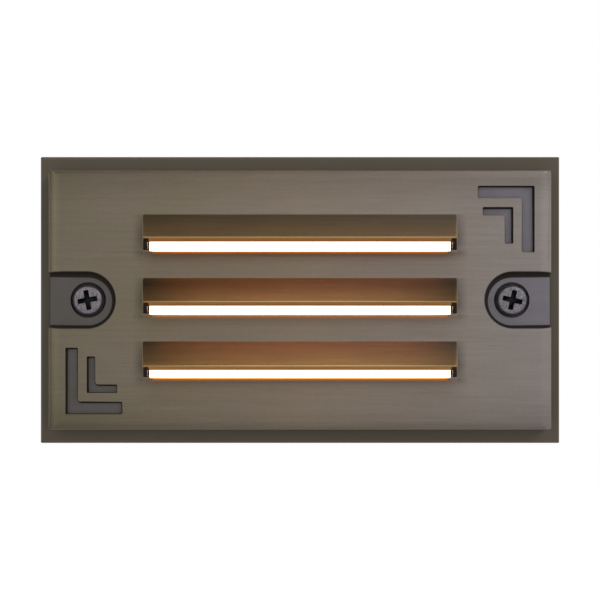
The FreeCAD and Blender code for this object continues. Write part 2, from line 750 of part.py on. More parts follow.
def fixing_places():
    """The four holes that fasten the box through its rear wall."""
    return four_corners(FIXING_X, FIXING_Z)


def tray_screw_places():
    """The two of the tray's four posts, across one diagonal, that take a screw."""
    return four_corners(POST_X, POST_Z)[1::2]


def driver_screw_places():
    """The driver's two ears, one at each end."""
    reach = DRIVER_LENGTH / 2 + DRIVER_EAR_LENGTH / 2
    return [(DRIVER_X - reach, 0.0), (DRIVER_X + reach, 0.0)]


def earth_place():
    """The earth screw's boss, below the driver."""
    return (EARTH_X, -FLOOR_HEIGHT / 2 + EARTH_FLOOR_GAP)


def terminal_place():
    """The terminal block's centre, above the driver."""
    right_of_leads = DRIVER_RIGHT - INPUT_LEAD_INSET + TERMINAL_LEAD_RUN + TERMINAL_LENGTH / 2
    return (right_of_leads, DRIVER_WIDTH / 2 + TERMINAL_GAP + TERMINAL_WIDTH / 2)


def box_shell():
    """The flange with the drafted box behind it, grip ribs outside and the hollow inside."""
    flange = slab(FLANGE_WIDTH, FLANGE_HEIGHT, FLANGE_CORNER, -FLANGE_THICK, 0)
    front_rim = [edge for edge in flange.Edges if edge.BoundBox.YMax < SMALL_GAP - FLANGE_THICK]
    flange = flange.makeChamfer(FLANGE_EDGE_CHAMFER, front_rim)
    outer = (MOUTH_WIDTH + 2 * BOX_WALL, MOUTH_HEIGHT + 2 * BOX_WALL)
    outer_back = [drafted(size, BOX_BACK) for size in outer]
    rear = [size - 2 * BOX_REAR_CHAMFER for size in outer_back]
    front = [size + 2 * (BOX_BACK - BOX_REAR_CHAMFER) for size in outer_back]
    body = tapered_block(outer, outer_back, BOX_CORNER, 0, BOX_BACK)
    body = body.common(tapered_block(front, rear, 0, 0, BOX_BACK))
    rib_end = BOX_BACK - 2 * BOX_REAR_CHAMFER
    rib_z = outer[1] / 2 + GRIP_RIB_HEIGHT
    rib_x = outer[0] / 2 + GRIP_RIB_HEIGHT
    half = GRIP_RIB_WIDTH / 2
    ribs = []
    for x in (-GRIP_RIB_SPACING, 0.0, GRIP_RIB_SPACING):
        ribs.append(block((x - half, x + half), (-SMALL_GAP, rib_end), (-rib_z, rib_z)))
    for z in (-outer[1] / 2 + BOX_CORNER + GRIP_RIB_INSET, outer[1] / 2 - BOX_CORNER - GRIP_RIB_INSET):
        ribs.append(block((-rib_x, rib_x), (-SMALL_GAP, rib_end), (z - half, z + half)))
    solid = flange.fuse([body] + ribs)
    hollow = tapered_block((MOUTH_WIDTH, MOUTH_HEIGHT), (FLOOR_WIDTH, FLOOR_HEIGHT), BOX_CORNER - BOX_WALL,
                          -FLANGE_THICK, FLOOR)
    return solid.cut([hollow]).removeSplitter()


def box_bosses():
    """What stands up inside the box: insert bosses, tray posts, driver bosses and the earth boss."""
    boss_back = SCREW_TIP + SCREW_BOSS_FLOOR
    mouth = MOUTH_WIDTH / 2
    solids = []
    for side in (-1, 1):
        x = side * SCREW_X
        solids.append(rod(boss_radius(), -FLANGE_THICK, boss_back, (x, 0.0)))
        inner, wall = sorted((x, side * (mouth + BOX_WALL / 2)))
        web = boss_radius() * BOSS_WEB_SHARE
        solids.append(block((inner, wall), (-FLANGE_THICK, boss_back), (-web, web)))
    for x, z in four_corners(POST_X, POST_Z):
        inner = z - math.copysign(POST_HALF, z)
        wall = math.copysign((FLOOR_HEIGHT + BOX_WALL) / 2, z)
        solids.append(block((x - POST_HALF, x + POST_HALF), (TRAY_BACK, FLOOR), sorted((inner, wall))))
    for place in driver_screw_places():
        solids.append(rod(M3_RADIUS + DRIVER_WALL, FLOOR - DRIVER_EAR_BOSS, FLOOR + CUT_BEYOND, place))
    solids.append(rod(EARTH_BOSS_RADIUS, FLOOR - EARTH_BOSS_HEIGHT, FLOOR + CUT_BEYOND, earth_place()))
    return solids


def make_back_box():
    """The cast box with its flange, bosses and holes."""
    shell = box_shell().fuse(box_bosses())
    cuts = []
    for side in (-1, 1):
        centre = (side * SCREW_X, 0.0)
        depth = max(INSERT_LENGTH, SCREW_TIP + FLANGE_THICK + SCREW_TIP_ROOM)
        cuts.append(blind_hole(insert_radius() + INSERT_FIT, -FLANGE_THICK, depth, centre))
    cuts += [blind_hole(M3_RADIUS + RUNNING_GAP, TRAY_BACK, M3_BITE, place) for place in tray_screw_places()]
    cuts += [blind_hole(M3_RADIUS + RUNNING_GAP, FLOOR - DRIVER_EAR_BOSS, M3_SHORT_BITE, place)
             for place in driver_screw_places()]
    cuts.append(blind_hole(M4_RADIUS + RUNNING_GAP, FLOOR - EARTH_BOSS_HEIGHT, M4_BITE, earth_place()))
    cuts += [hole(FIXING_RADIUS, FLOOR, BOX_BACK, place) for place in fixing_places()]
    cuts.append(hole(GLAND_THREAD_RADIUS + SMALL_GAP, FLOOR, BOX_BACK, (GLAND_X, 0.0)))
    return shell.cut(cuts).removeSplitter()


def make_box_gasket():
    """The flat ring between the flange and the faceplate."""
    outer = [size - 2 * GASKET_SETBACK for size in (PLATE_WIDTH, PLATE_HEIGHT)]
    inner = [size + 2 * GASKET_SETBACK for size in (MOUTH_WIDTH, MOUTH_HEIGHT)]
    ring = slab(*outer, PLATE_CORNER, PLATE_BACK, -FLANGE_THICK)
    window = slab(*inner, BOX_CORNER - BOX_WALL, PLATE_BACK - CUT_BEYOND, CUT_BEYOND - FLANGE_THICK)
    return ring.cut(window)


# ---------------------------------------------------------------- light chamber

def peg_places():
    """The reflector's two pegs, in opposite corners of the LED board."""
    return four_corners(BOARD_WIDTH / 2 - PEG_INSET, BOARD_HEIGHT / 2 - PEG_INSET)[0::2]


def board_screw_places():
    """The board's two screws, just inside the ends of the reflector's window."""
    reach = CHAMBER_BACK_WIDTH / 2 - M25_HEAD_RADIUS - BOARD_SCREW_GAP
    return [(-reach, 0.0), (reach, 0.0)]


def led_places():
    """The LEDs' centres: as many columns as fit on each side of the connector, in even rows."""
    outermost = CHAMBER_BACK_WIDTH / 2 - LED_INSET_X
    nearest = CONNECTOR_START_X + CONNECTOR_LENGTH + LED_WIDTH / 2 + LOOSE_GAP
    columns = max(1, int((outermost - nearest) / LED_COLUMN_STEP) + 1)
    half = CHAMBER_BACK_HEIGHT / 2 - LED_INSET_Z
    step = 2 * half / (LED_ROW_COUNT - 1)
    places = []
    for row in range(LED_ROW_COUNT):
        for column in range(columns):
            x = outermost - column * LED_COLUMN_STEP
            places += [(-x, half - row * step), (x, half - row * step)]
    return places


def lead_row():
    """The height at which the leads reach the board, between its upper and middle rows of LEDs."""
    return (CHAMBER_BACK_HEIGHT / 2 - LED_INSET_Z) / 2


def lead_hole():
    """The place and radius of the hole that the two output leads come up through."""
    return (CONNECTOR_START_X - 2 * LEAD_REACH, lead_row()), LEAD_SPACING / 2 + LEAD_RADIUS + LOOSE_GAP


def make_reflector():
    """The white trough between the LEDs and the lens: sloping walls on a rim with two pegs."""
    outside = [size + 2 * REFLECTOR_WALL for size in (CHAMBER_WIDTH, CHAMBER_HEIGHT)]
    outside_back = [size + 2 * REFLECTOR_WALL for size in (CHAMBER_BACK_WIDTH, CHAMBER_BACK_HEIGHT)]
    rim_front = CHAMBER_DEPTH - REFLECTOR_WALL
    walls = tapered_block(outside, outside_back, REFLECTOR_CORNER + REFLECTOR_WALL,
                          REFLECTOR_START, CHAMBER_DEPTH)
    rim = slab(BOARD_WIDTH, BOARD_HEIGHT, BOARD_CORNER, rim_front, CHAMBER_DEPTH)
    inside = tapered_block((CHAMBER_WIDTH, CHAMBER_HEIGHT), (CHAMBER_BACK_WIDTH, CHAMBER_BACK_HEIGHT),
                          REFLECTOR_CORNER, REFLECTOR_START, CHAMBER_DEPTH)
    pegs = []
    for place in peg_places():
        pegs.append(rod(PEG_RADIUS, rim_front, TRAY_BACK, place))
        pegs.append(rod(PEG_HEAD_RADIUS, TRAY_BACK, TRAY_BACK + PEG_HEAD_HEIGHT, place))
    return walls.fuse([rim] + pegs).cut(inside).removeSplitter()


def place_within(place, height):
    """Whether a place lies on a sheet of some height."""
    return abs(place[1]) < height / 2


def drilled_sheet(width, height, corner, front, back, screw_hole):
    """A sheet with those of the board's holes that it is large enough to need."""
    place, radius = lead_hole()
    holes = [hole(radius, front, back, place)]
    holes += [hole(screw_hole, front, back, place) for place in board_screw_places()]
    holes += [hole(PEG_RADIUS + SMALL_GAP, front, back, place) for place in peg_places()
              if place_within(place, height)]
    return slab(width, height, corner, front, back).cut(holes)


def make_led_board():
    """The board that carries the LEDs."""
    return drilled_sheet(BOARD_WIDTH, BOARD_HEIGHT, BOARD_CORNER, CHAMBER_DEPTH, BOARD_BACK,
                         M25_RADIUS + SMALL_GAP)


def make_thermal_pad():
    """The thin pad that carries the board's heat to the tray."""
    height = BOARD_HEIGHT - 4 * PEG_INSET
    return drilled_sheet(BOARD_WIDTH, height, 0, BOARD_BACK, TRAY_FRONT, M25_RADIUS + SMALL_GAP)


def make_heat_tray():
    """The aluminium tray with its two turned lips, screwed to the box's posts."""
    sheet = drilled_sheet(TRAY_WIDTH, TRAY_HEIGHT, TRAY_CORNER, TRAY_FRONT, TRAY_BACK,
                          M25_RADIUS + RUNNING_GAP)
    holes = [hole(M3_RADIUS + SMALL_GAP, TRAY_FRONT, TRAY_BACK, place) for place in tray_screw_places()]
    lip_x = TRAY_WIDTH / 2 - TRAY_LIP_INSET
    edge = TRAY_HEIGHT / 2
    lip = side_prism([
        (TRAY_BACK - TRAY_THICK / 2, edge - TRAY_THICK),
        (TRAY_BACK - TRAY_THICK / 2, edge),
        (TRAY_BACK + TRAY_LIP_HEIGHT, edge),
        (TRAY_BACK + TRAY_LIP_HEIGHT, edge - TRAY_THICK),
    ], lip_x)
    bend = side_prism([
        (TRAY_FRONT - CUT_BEYOND, edge - TRAY_THICK),
        (TRAY_FRONT, edge - TRAY_THICK),
        ((TRAY_FRONT + TRAY_THICK * (1 - math.sqrt(0.5)), edge - TRAY_THICK * (1 - math.sqrt(0.5))),
         (TRAY_BACK, edge)),
        (TRAY_BACK, edge + CUT_BEYOND),
        (TRAY_FRONT - CUT_BEYOND, edge + CUT_BEYOND),
    ], lip_x)
    sheet = sheet.cut(holes).fuse([lip, lip.mirror(at(0, 0, 0), at(0, 0, 1))])
    return sheet.cut([bend, bend.mirror(at(0, 0, 0), at(0, 0, 1))]).removeSplitter()


def make_led_packages():
    """The LEDs, each a small block whose sides lean in."""
    foot = (LED_WIDTH, LED_HEIGHT)
    top = [size - 2 * LED_TAPER for size in foot]
    return Part.makeCompound([
        tapered_block(top, foot, 0, CHAMBER_DEPTH - LED_THICK, CHAMBER_DEPTH, place)
        for place in led_places()
    ])


def lead_entry(x_range, y, z):
    """A square way for one lead along X."""
    half = LEAD_RADIUS + SMALL_GAP / 2
    return block(x_range, (y - half, y + half), (z - half, z + half))


def make_board_connector():
    """The board's two-way connector, with an open entry for each lead."""
    z = lead_row()
    start, end = CONNECTOR_START_X, CONNECTOR_START_X + CONNECTOR_LENGTH
    front = CHAMBER_DEPTH - CONNECTOR_HEIGHT
    body = block((start, end), (front, CHAMBER_DEPTH), (z - CONNECTOR_WIDTH / 2, z + CONNECTOR_WIDTH / 2))
    cuts = []
    for side in (-1, 1):
        lane = z + side * LEAD_SPACING / 2
        cuts.append(lead_entry((start - CUT_BEYOND, start + LEAD_REACH), front + CONNECTOR_HEIGHT / 2, lane))
        cuts.append(block((end - LEAD_REACH - LEAD_RADIUS, end - LEAD_RADIUS),
                          (front - CUT_BEYOND, front + CUT_BEYOND),
                          (lane - LEAD_RADIUS / 2, lane + LEAD_RADIUS / 2)))
    return body.cut(cuts)


def make_board_screws():
    """Two screws that clamp the board and its pad to the tray."""
    length = TRAY_BACK - CHAMBER_DEPTH
    return Part.makeCompound([
        small_screw(M25_RADIUS, length, M25_HEAD_RADIUS, M25_HEAD_HEIGHT, CHAMBER_DEPTH, place)
        for place in board_screw_places()
    ])


def make_tray_screws():
    """Two screws that hold the tray on the box's posts."""
    length = TRAY_THICK + M3_BITE - CUT_BEYOND
    return Part.makeCompound([
        small_screw(M3_RADIUS, length, M3_HEAD_RADIUS, M3_HEAD_HEIGHT, TRAY_FRONT, place)
        for place in tray_screw_places()
    ])


# ---------------------------------------------------------------- driver, leads and terminals

def driver_inside(front):
    """What the driver's case holds, from some depth to its floor."""
    length, width = DRIVER_LENGTH - 2 * DRIVER_WALL, DRIVER_WIDTH - 2 * DRIVER_WALL
    return slab(length, width, DRIVER_CORNER - DRIVER_WALL, front, FLOOR - DRIVER_WALL, (DRIVER_X, 0.0))


def make_driver_case():
    """The open tray of the driver, with an ear at each end."""
    centre = (DRIVER_X, 0.0)
    shell = slab(DRIVER_LENGTH, DRIVER_WIDTH, DRIVER_CORNER, DRIVER_FRONT, FLOOR, centre)
    hollow = driver_inside(DRIVER_FRONT - CUT_BEYOND)
    ear_seat = FLOOR - DRIVER_EAR_BOSS
    ears = []
    for x, z in driver_screw_places():
        outward = math.copysign(DRIVER_EAR_LENGTH / 2, x - DRIVER_X)
        ends = sorted((x + outward, x - outward * (1 + DRIVER_WALL / DRIVER_EAR_LENGTH)))
        half = DRIVER_EAR_WIDTH / 2
        ears.append(block(ends, (ear_seat - DRIVER_EAR_THICK, ear_seat), (z - half, z + half)))
    holes = [hole(M3_RADIUS + SMALL_GAP, ear_seat - DRIVER_EAR_THICK, ear_seat, place)
             for place in driver_screw_places()]
    return shell.fuse(ears).cut([hollow] + holes).removeSplitter()


def make_driver_potting():
    """The compound that fills the driver's case to just below its rim."""
    return driver_inside(DRIVER_FRONT + POTTING_SETBACK)


def make_driver_screws():
    """Two screws through the driver's ears."""
    seat = FLOOR - DRIVER_EAR_BOSS - DRIVER_EAR_THICK
    length = DRIVER_EAR_THICK + M3_SHORT_BITE - CUT_BEYOND
    return Part.makeCompound([
        small_screw(M3_RADIUS, length, M3_HEAD_RADIUS, M3_HEAD_HEIGHT, seat, place)
        for place in driver_screw_places()
    ])


def make_output_lead(side, name):
    """A lead from the potting up through the tray and board, and into the board's connector."""
    (way_up, _), _ = lead_hole()
    z = lead_row() + side * LEAD_SPACING / 2
    start_x = DRIVER_LEFT + OUTPUT_LEAD_INSET
    run_y = (TRAY_BACK + DRIVER_FRONT) / 2
    entry_y = CHAMBER_DEPTH - CONNECTOR_HEIGHT / 2
    return lead([
        at(start_x, DRIVER_FRONT + POTTING_SETBACK, z),
        at(start_x, run_y, z),
        at(way_up, run_y, z),
        at(way_up, entry_y, z),
        at(CONNECTOR_START_X + LEAD_REACH - LOOSE_GAP, entry_y, z),
    ], name)


def make_input_lead(number, name):
    """A lead from the driver's upper side that turns into the terminal block."""
    x = DRIVER_RIGHT - INPUT_LEAD_INSET - number * INPUT_LEAD_STEP
    block_x, block_z = terminal_place()
    z = block_z + (number - 0.5) * TERMINAL_PITCH
    y = FLOOR - INPUT_LEAD_RISE
    return lead([
        at(x, y, DRIVER_WIDTH / 2),
        at(x, y, z),
        at(block_x - TERMINAL_LENGTH / 2 + LEAD_REACH - LOOSE_GAP, y, z),
    ], name)


def make_terminal_block():
    """The two-pole block: a screw well over each pole, and an entry from end to end under it."""
    x, z = terminal_place()
    front = FLOOR - TERMINAL_HEIGHT
    body = block((x - TERMINAL_LENGTH / 2, x + TERMINAL_LENGTH / 2), (front, FLOOR),
                 (z - TERMINAL_WIDTH / 2, z + TERMINAL_WIDTH / 2))
    cuts = []
    for side in (-0.5, 0.5):
        lane = z + side * TERMINAL_PITCH
        cuts.append(rod(TERMINAL_SCREW_RADIUS + SMALL_GAP, front - CUT_BEYOND,
                        front + TERMINAL_SCREW_SINK + TERMINAL_SCREW_LENGTH, (x, lane)))
        cuts.append(lead_entry((x - TERMINAL_LENGTH, x + TERMINAL_LENGTH), FLOOR - INPUT_LEAD_RISE, lane))
    return body.cut(cuts)


def make_terminal_screws():
    """The slotted screws in the block's wells."""
    x, z = terminal_place()
    front = FLOOR - TERMINAL_HEIGHT + TERMINAL_SCREW_SINK
    screws = []
    for side in (-0.5, 0.5):
        lane = z + side * TERMINAL_PITCH
        body = rod(TERMINAL_SCREW_RADIUS, front, front + TERMINAL_SCREW_LENGTH, (x, lane))
        slot = block((x - 2 * TERMINAL_SCREW_RADIUS, x + 2 * TERMINAL_SCREW_RADIUS),
                     (front - CUT_BEYOND, front + TERMINAL_SLOT_DEPTH), (lane - LOOSE_GAP, lane + LOOSE_GAP))
        screws.append(body.cut(slot))
    return Part.makeCompound(screws)


def make_earth_screw():
    """The earth screw on its boss."""
    seat = FLOOR - EARTH_BOSS_HEIGHT - EARTH_WASHER_THICK
    length = EARTH_WASHER_THICK + M4_BITE - CUT_BEYOND
    return small_screw(M4_RADIUS, length, SCREW_HEAD_RADIUS, SCREW_HEAD_HEIGHT, seat, earth_place())


def make_earth_washer():
    """The square cup washer that traps the earth wire."""
    back = FLOOR - EARTH_BOSS_HEIGHT
    side = 2 * EARTH_WASHER_HALF
    plate = slab(side, side, 0, back - EARTH_WASHER_THICK, back, earth_place())
    return plate.cut(hole(M4_RADIUS + SMALL_GAP, back - EARTH_WASHER_THICK, back, earth_place()))


# ---------------------------------------------------------------- cable gland

def gland_stack():
    """The depths of the gland's outer parts: washer back, hex back and neck end."""
    washer_back = BOX_BACK + GLAND_WASHER_THICK
    hex_back = washer_back + GLAND_HEX_THICK
    return washer_back, hex_back, hex_back + GLAND_NECK_LENGTH


def bush_radius():
    """The outside of the gland's bush."""
    return GLAND_BUSH_BORE + GLAND_BUSH_WALL


def bush_depths():
    """Where the bush starts and ends: flush with the neck's end."""
    end = gland_stack()[-1]
    return end - GLAND_BUSH_LENGTH, end


def make_gland_body():
    """The threaded body: a shank through the box's wall, a hexagon outside and a neck round the bush."""
    centre = (GLAND_X, 0.0)
    washer_back, hex_back, neck_end = gland_stack()
    start = FLOOR - LOCK_NUT_THICK - THREAD_BEYOND_NUT
    shank = rod(GLAND_THREAD_RADIUS, start, hex_back, centre)
    nut = hexagon(GLAND_FLATS, washer_back, hex_back, centre)
    neck = rod(GLAND_NECK_RADIUS, hex_back, neck_end, centre)
    bore = rod(GLAND_BORE_RADIUS, start - CUT_BEYOND, neck_end + CUT_BEYOND, centre)
    seat = rod(bush_radius() + SMALL_GAP / 2, bush_depths()[0], neck_end + CUT_BEYOND, centre)
    return fused([shank, nut, neck]).cut([bore, seat]).removeSplitter()


def make_gland_washer():
    """The flat ring that seals the gland to the box."""
    washer_back, _, _ = gland_stack()
    return tube(GLAND_FLATS / 2, GLAND_THREAD_RADIUS + RUNNING_GAP, BOX_BACK, washer_back, (GLAND_X, 0.0))


def make_gland_bush():
    """The rubber sleeve that the nut squeezes on to the cable."""
    return tube(bush_radius(), GLAND_BUSH_BORE, *bush_depths(), (GLAND_X, 0.0))


def make_gland_nut():
    """The nut over the neck: a hexagon that narrows to the cable's opening."""
    centre = (GLAND_X, 0.0)
    _, hex_back, neck_end = gland_stack()
    front = hex_back + LOOSE_GAP
    back = front + GLAND_NUT_LENGTH
    shoulder = front + GLAND_HEX_LENGTH
    grip = hexagon(GLAND_NUT_FLATS, front, shoulder, centre)
    dome = Part.makeCone(GLAND_NUT_FLATS / 2, GLAND_MOUTH_RADIUS + GLAND_NUT_WALL, back - shoulder,
                         at(GLAND_X, shoulder, 0), at(0, 1, 0))
    shape = grip.fuse(dome)
    inside = rod(GLAND_NECK_RADIUS + SMALL_GAP, front - CUT_BEYOND, neck_end + SMALL_GAP, centre)
    opening = rod(GLAND_MOUTH_RADIUS, front, back + CUT_BEYOND, centre)
    return shape.cut([inside, opening]).removeSplitter()


def make_gland_lock_nut():
    """The thin nut inside the box."""
    centre = (GLAND_X, 0.0)
    nut = hexagon(LOCK_NUT_FLATS, FLOOR - LOCK_NUT_THICK, FLOOR, centre)
    return nut.cut(hole(GLAND_THREAD_RADIUS + RUNNING_GAP, FLOOR - LOCK_NUT_THICK, FLOOR, centre))


# ---------------------------------------------------------------- the assembly

def main():
    """Make every piece and write each as its own file."""
    pieces = {
        "faceplate": make_faceplate(),
        "lens_gasket": make_lens_gasket(),
        "lens": make_lens(),
        "lens_retainer": make_lens_retainer(),
        "retainer_screws": make_retainer_screws(),
        "left_face_screw": make_face_screw(-1),
        "right_face_screw": make_face_screw(1),
        "left_seal_washer": make_seal_washer(-1),
        "right_seal_washer": make_seal_washer(1),
        "screw_inserts": make_screw_inserts(),
        "back_box": make_back_box(),
        "box_gasket": make_box_gasket(),
        "reflector": make_reflector(),
        "led_board": make_led_board(),
        "led_packages": make_led_packages(),
        "board_connector": make_board_connector(),
        "board_screws": make_board_screws(),
        "thermal_pad": make_thermal_pad(),
        "heat_tray": make_heat_tray(),
        "tray_screws": make_tray_screws(),
        "driver_case": make_driver_case(),
        "driver_potting": make_driver_potting(),
        "driver_screws": make_driver_screws(),
        "output_lead_positive": make_output_lead(1, "output_lead_positive"),
        "output_lead_negative": make_output_lead(-1, "output_lead_negative"),
        "input_lead_line": make_input_lead(0, "input_lead_line"),
        "input_lead_neutral": make_input_lead(1, "input_lead_neutral"),
        "terminal_block": make_terminal_block(),
        "terminal_screws": make_terminal_screws(),
        "earth_screw": make_earth_screw(),
        "earth_washer": make_earth_washer(),
        "gland_body": make_gland_body(),
        "gland_washer": make_gland_washer(),
        "gland_bush": make_gland_bush(),
        "gland_nut": make_gland_nut(),
        "gland_lock_nut": make_gland_lock_nut(),
    }
    os.makedirs("parts", exist_ok=True)
    for name, shape in pieces.items():
        sound = shape.isValid() and all(solid.isClosed() for solid in shape.Solids)
        box = shape.BoundBox
        print(f"{name}: {len(shape.Solids)} solids, sound {sound}")
        print(f"  X {box.XMin:.2f} {box.XMax:.2f}, Y {box.YMin:.2f} {box.YMax:.2f}, "
              f"Z {box.ZMin:.2f} {box.ZMax:.2f}")
        shape.exportStep(f"parts/{name}.step")


main()
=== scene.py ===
"""A recessed step light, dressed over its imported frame.

Every piece is built in millimetres in the light's own frame (X along the light, Y into the
wall, Z up, origin in the middle of the flange's rear face) and turned to metres at its end.
"""

import logging
import math
from collections.abc import Callable, Iterable, Sequence
from dataclasses import dataclass
from enum import Enum

import bmesh
import bpy
from mathutils import Matrix, Vector


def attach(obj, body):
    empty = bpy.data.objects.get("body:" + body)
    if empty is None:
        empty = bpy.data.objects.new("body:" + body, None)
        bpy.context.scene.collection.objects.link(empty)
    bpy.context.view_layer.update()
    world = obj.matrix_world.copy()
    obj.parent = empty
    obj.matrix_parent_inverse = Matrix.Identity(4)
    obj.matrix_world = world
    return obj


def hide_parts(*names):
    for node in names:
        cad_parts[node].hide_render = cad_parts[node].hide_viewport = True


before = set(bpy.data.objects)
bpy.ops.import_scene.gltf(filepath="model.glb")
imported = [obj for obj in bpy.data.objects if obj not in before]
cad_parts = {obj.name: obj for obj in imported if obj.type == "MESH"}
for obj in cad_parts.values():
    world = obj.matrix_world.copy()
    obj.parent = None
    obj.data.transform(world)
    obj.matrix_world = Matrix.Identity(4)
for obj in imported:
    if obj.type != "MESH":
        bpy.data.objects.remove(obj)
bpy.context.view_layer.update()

LOG = logging.getLogger("step_light")
MM = 0.001
MERGE = 1e-4
LEVEL = 1e-3
WEAR_LAYER = "edge_wear"
FLAT_DEGREES = 0.5
SHARP_DEGREES = 40.0
SMOOTH_DEGREES = 22.0
TURN = 2 * math.pi

Place = tuple[float, float]
Ring = tuple[float, float]
Point = tuple[float, float, float]
Stops = tuple[tuple[float, float], ...]
Colour = tuple[float, float, float, float]
Vert = bmesh.types.BMVert
Edge = bmesh.types.BMEdge
Face = bmesh.types.BMFace
Element = Vert | Edge | Face
Socket = bpy.types.NodeSocket


class Body(Enum):
    """The bodies of the light that move on their own."""

    BOX = "wall_box"
    FACE = "face"
    LEFT_WASHER = "left_washer"
    RIGHT_WASHER = "right_washer"
    LEFT_SCREW = "left_screw"
    RIGHT_SCREW = "right_screw"


# ------------------------------------------------------------------ finishes


def linear(code: str) -> Colour:
    """Turn a colour written in sRGB hex to linear.

    Args:
        code: the colour, such as "#756c66".

    Returns:
        Red, green, blue and an alpha of 1.
    """
    parts = [int(code[i:i + 2], 16) / 255 for i in (1, 3, 5)]
    red, green, blue = [p / 12.92 if p <= 0.04045 else ((p + 0.055) / 1.055) ** 2.4 for p in parts]
    return red, green, blue, 1.0


class Nodes:
    """A node tree in the making."""

    def __init__(self, tree: bpy.types.NodeTree) -> None:
        """Start with the tree empty."""
        self.tree = tree
        tree.nodes.clear()

    def add(
        self,
        kind: str,
        links: dict[str | int, Socket] | None = None,
        values: dict[str | int, object] | None = None,
        stops: Sequence[tuple[float, Colour]] = (),
        **settings: object,
    ) -> bpy.types.Node:
        """Add a node.

        Args:
            kind: the node's type.
            links: what feeds each of its inputs.
            values: what its other inputs are set to.
            stops: the places and colours of its ramp, if it has one.
            **settings: the node's own settings.

        Returns:
            The node.
        """
        node = self.tree.nodes.new(kind)
        for name, value in settings.items():
            setattr(node, name, value)
        for socket, value in (values or {}).items():
            node.inputs[socket].default_value = value
        for socket, source in (links or {}).items():
            self.tree.links.new(source, node.inputs[socket])
        if stops:
            elements = node.color_ramp.elements
            elements[0].position, elements[-1].position = stops[0][0], stops[-1][0]
            for spot, _ in stops[1:-1]:
                elements.new(spot)
            for element, (_, colour) in zip(elements, stops):
                element.color = colour
        return node


class Shader(Nodes):
    """The nodes of one material, which start with its surface and its output."""

    def __init__(self, name: str) -> None:
        """Make the material."""
        self.material = bpy.data.materials.new(name)
        self.material.use_nodes = True
        super().__init__(self.material.node_tree)
        self.surface = self.add("ShaderNodeBsdfPrincipled")
        self.add("ShaderNodeOutputMaterial", {"Surface": self.surface.outputs[0]})
        self.place = self.add("ShaderNodeTexCoord").outputs["Object"]


@dataclass(frozen=True)
class Grain:
    """One pattern in a surface, by the size of its marks along X, Y and Z in millimetres."""

    size: tuple[float, float, float]
    shade: float = 0.0
    rough: float = 0.0
    height: float = 0.0
    detail: float = 2.0

    def noise(self, shader: Shader) -> Socket:
        """Add the pattern's noise.

        Args:
            shader: the material's tree.

        Returns:
            A value about 0.5.
        """
        spread = shader.add(
            "ShaderNodeMapping",
            {"Vector": shader.place},
            {"Scale": [1 / (mark * MM) for mark in self.size]},
        )
        return shader.add(
            "ShaderNodeTexNoise",
            {"Vector": spread.outputs[0]},
            {"Scale": 1.0, "Detail": self.detail},
        ).outputs[0]


def sand(size: float, **marks: float) -> Grain:
    """Make a grain whose marks have the same size every way."""
    return Grain((size,) * 3, **marks)


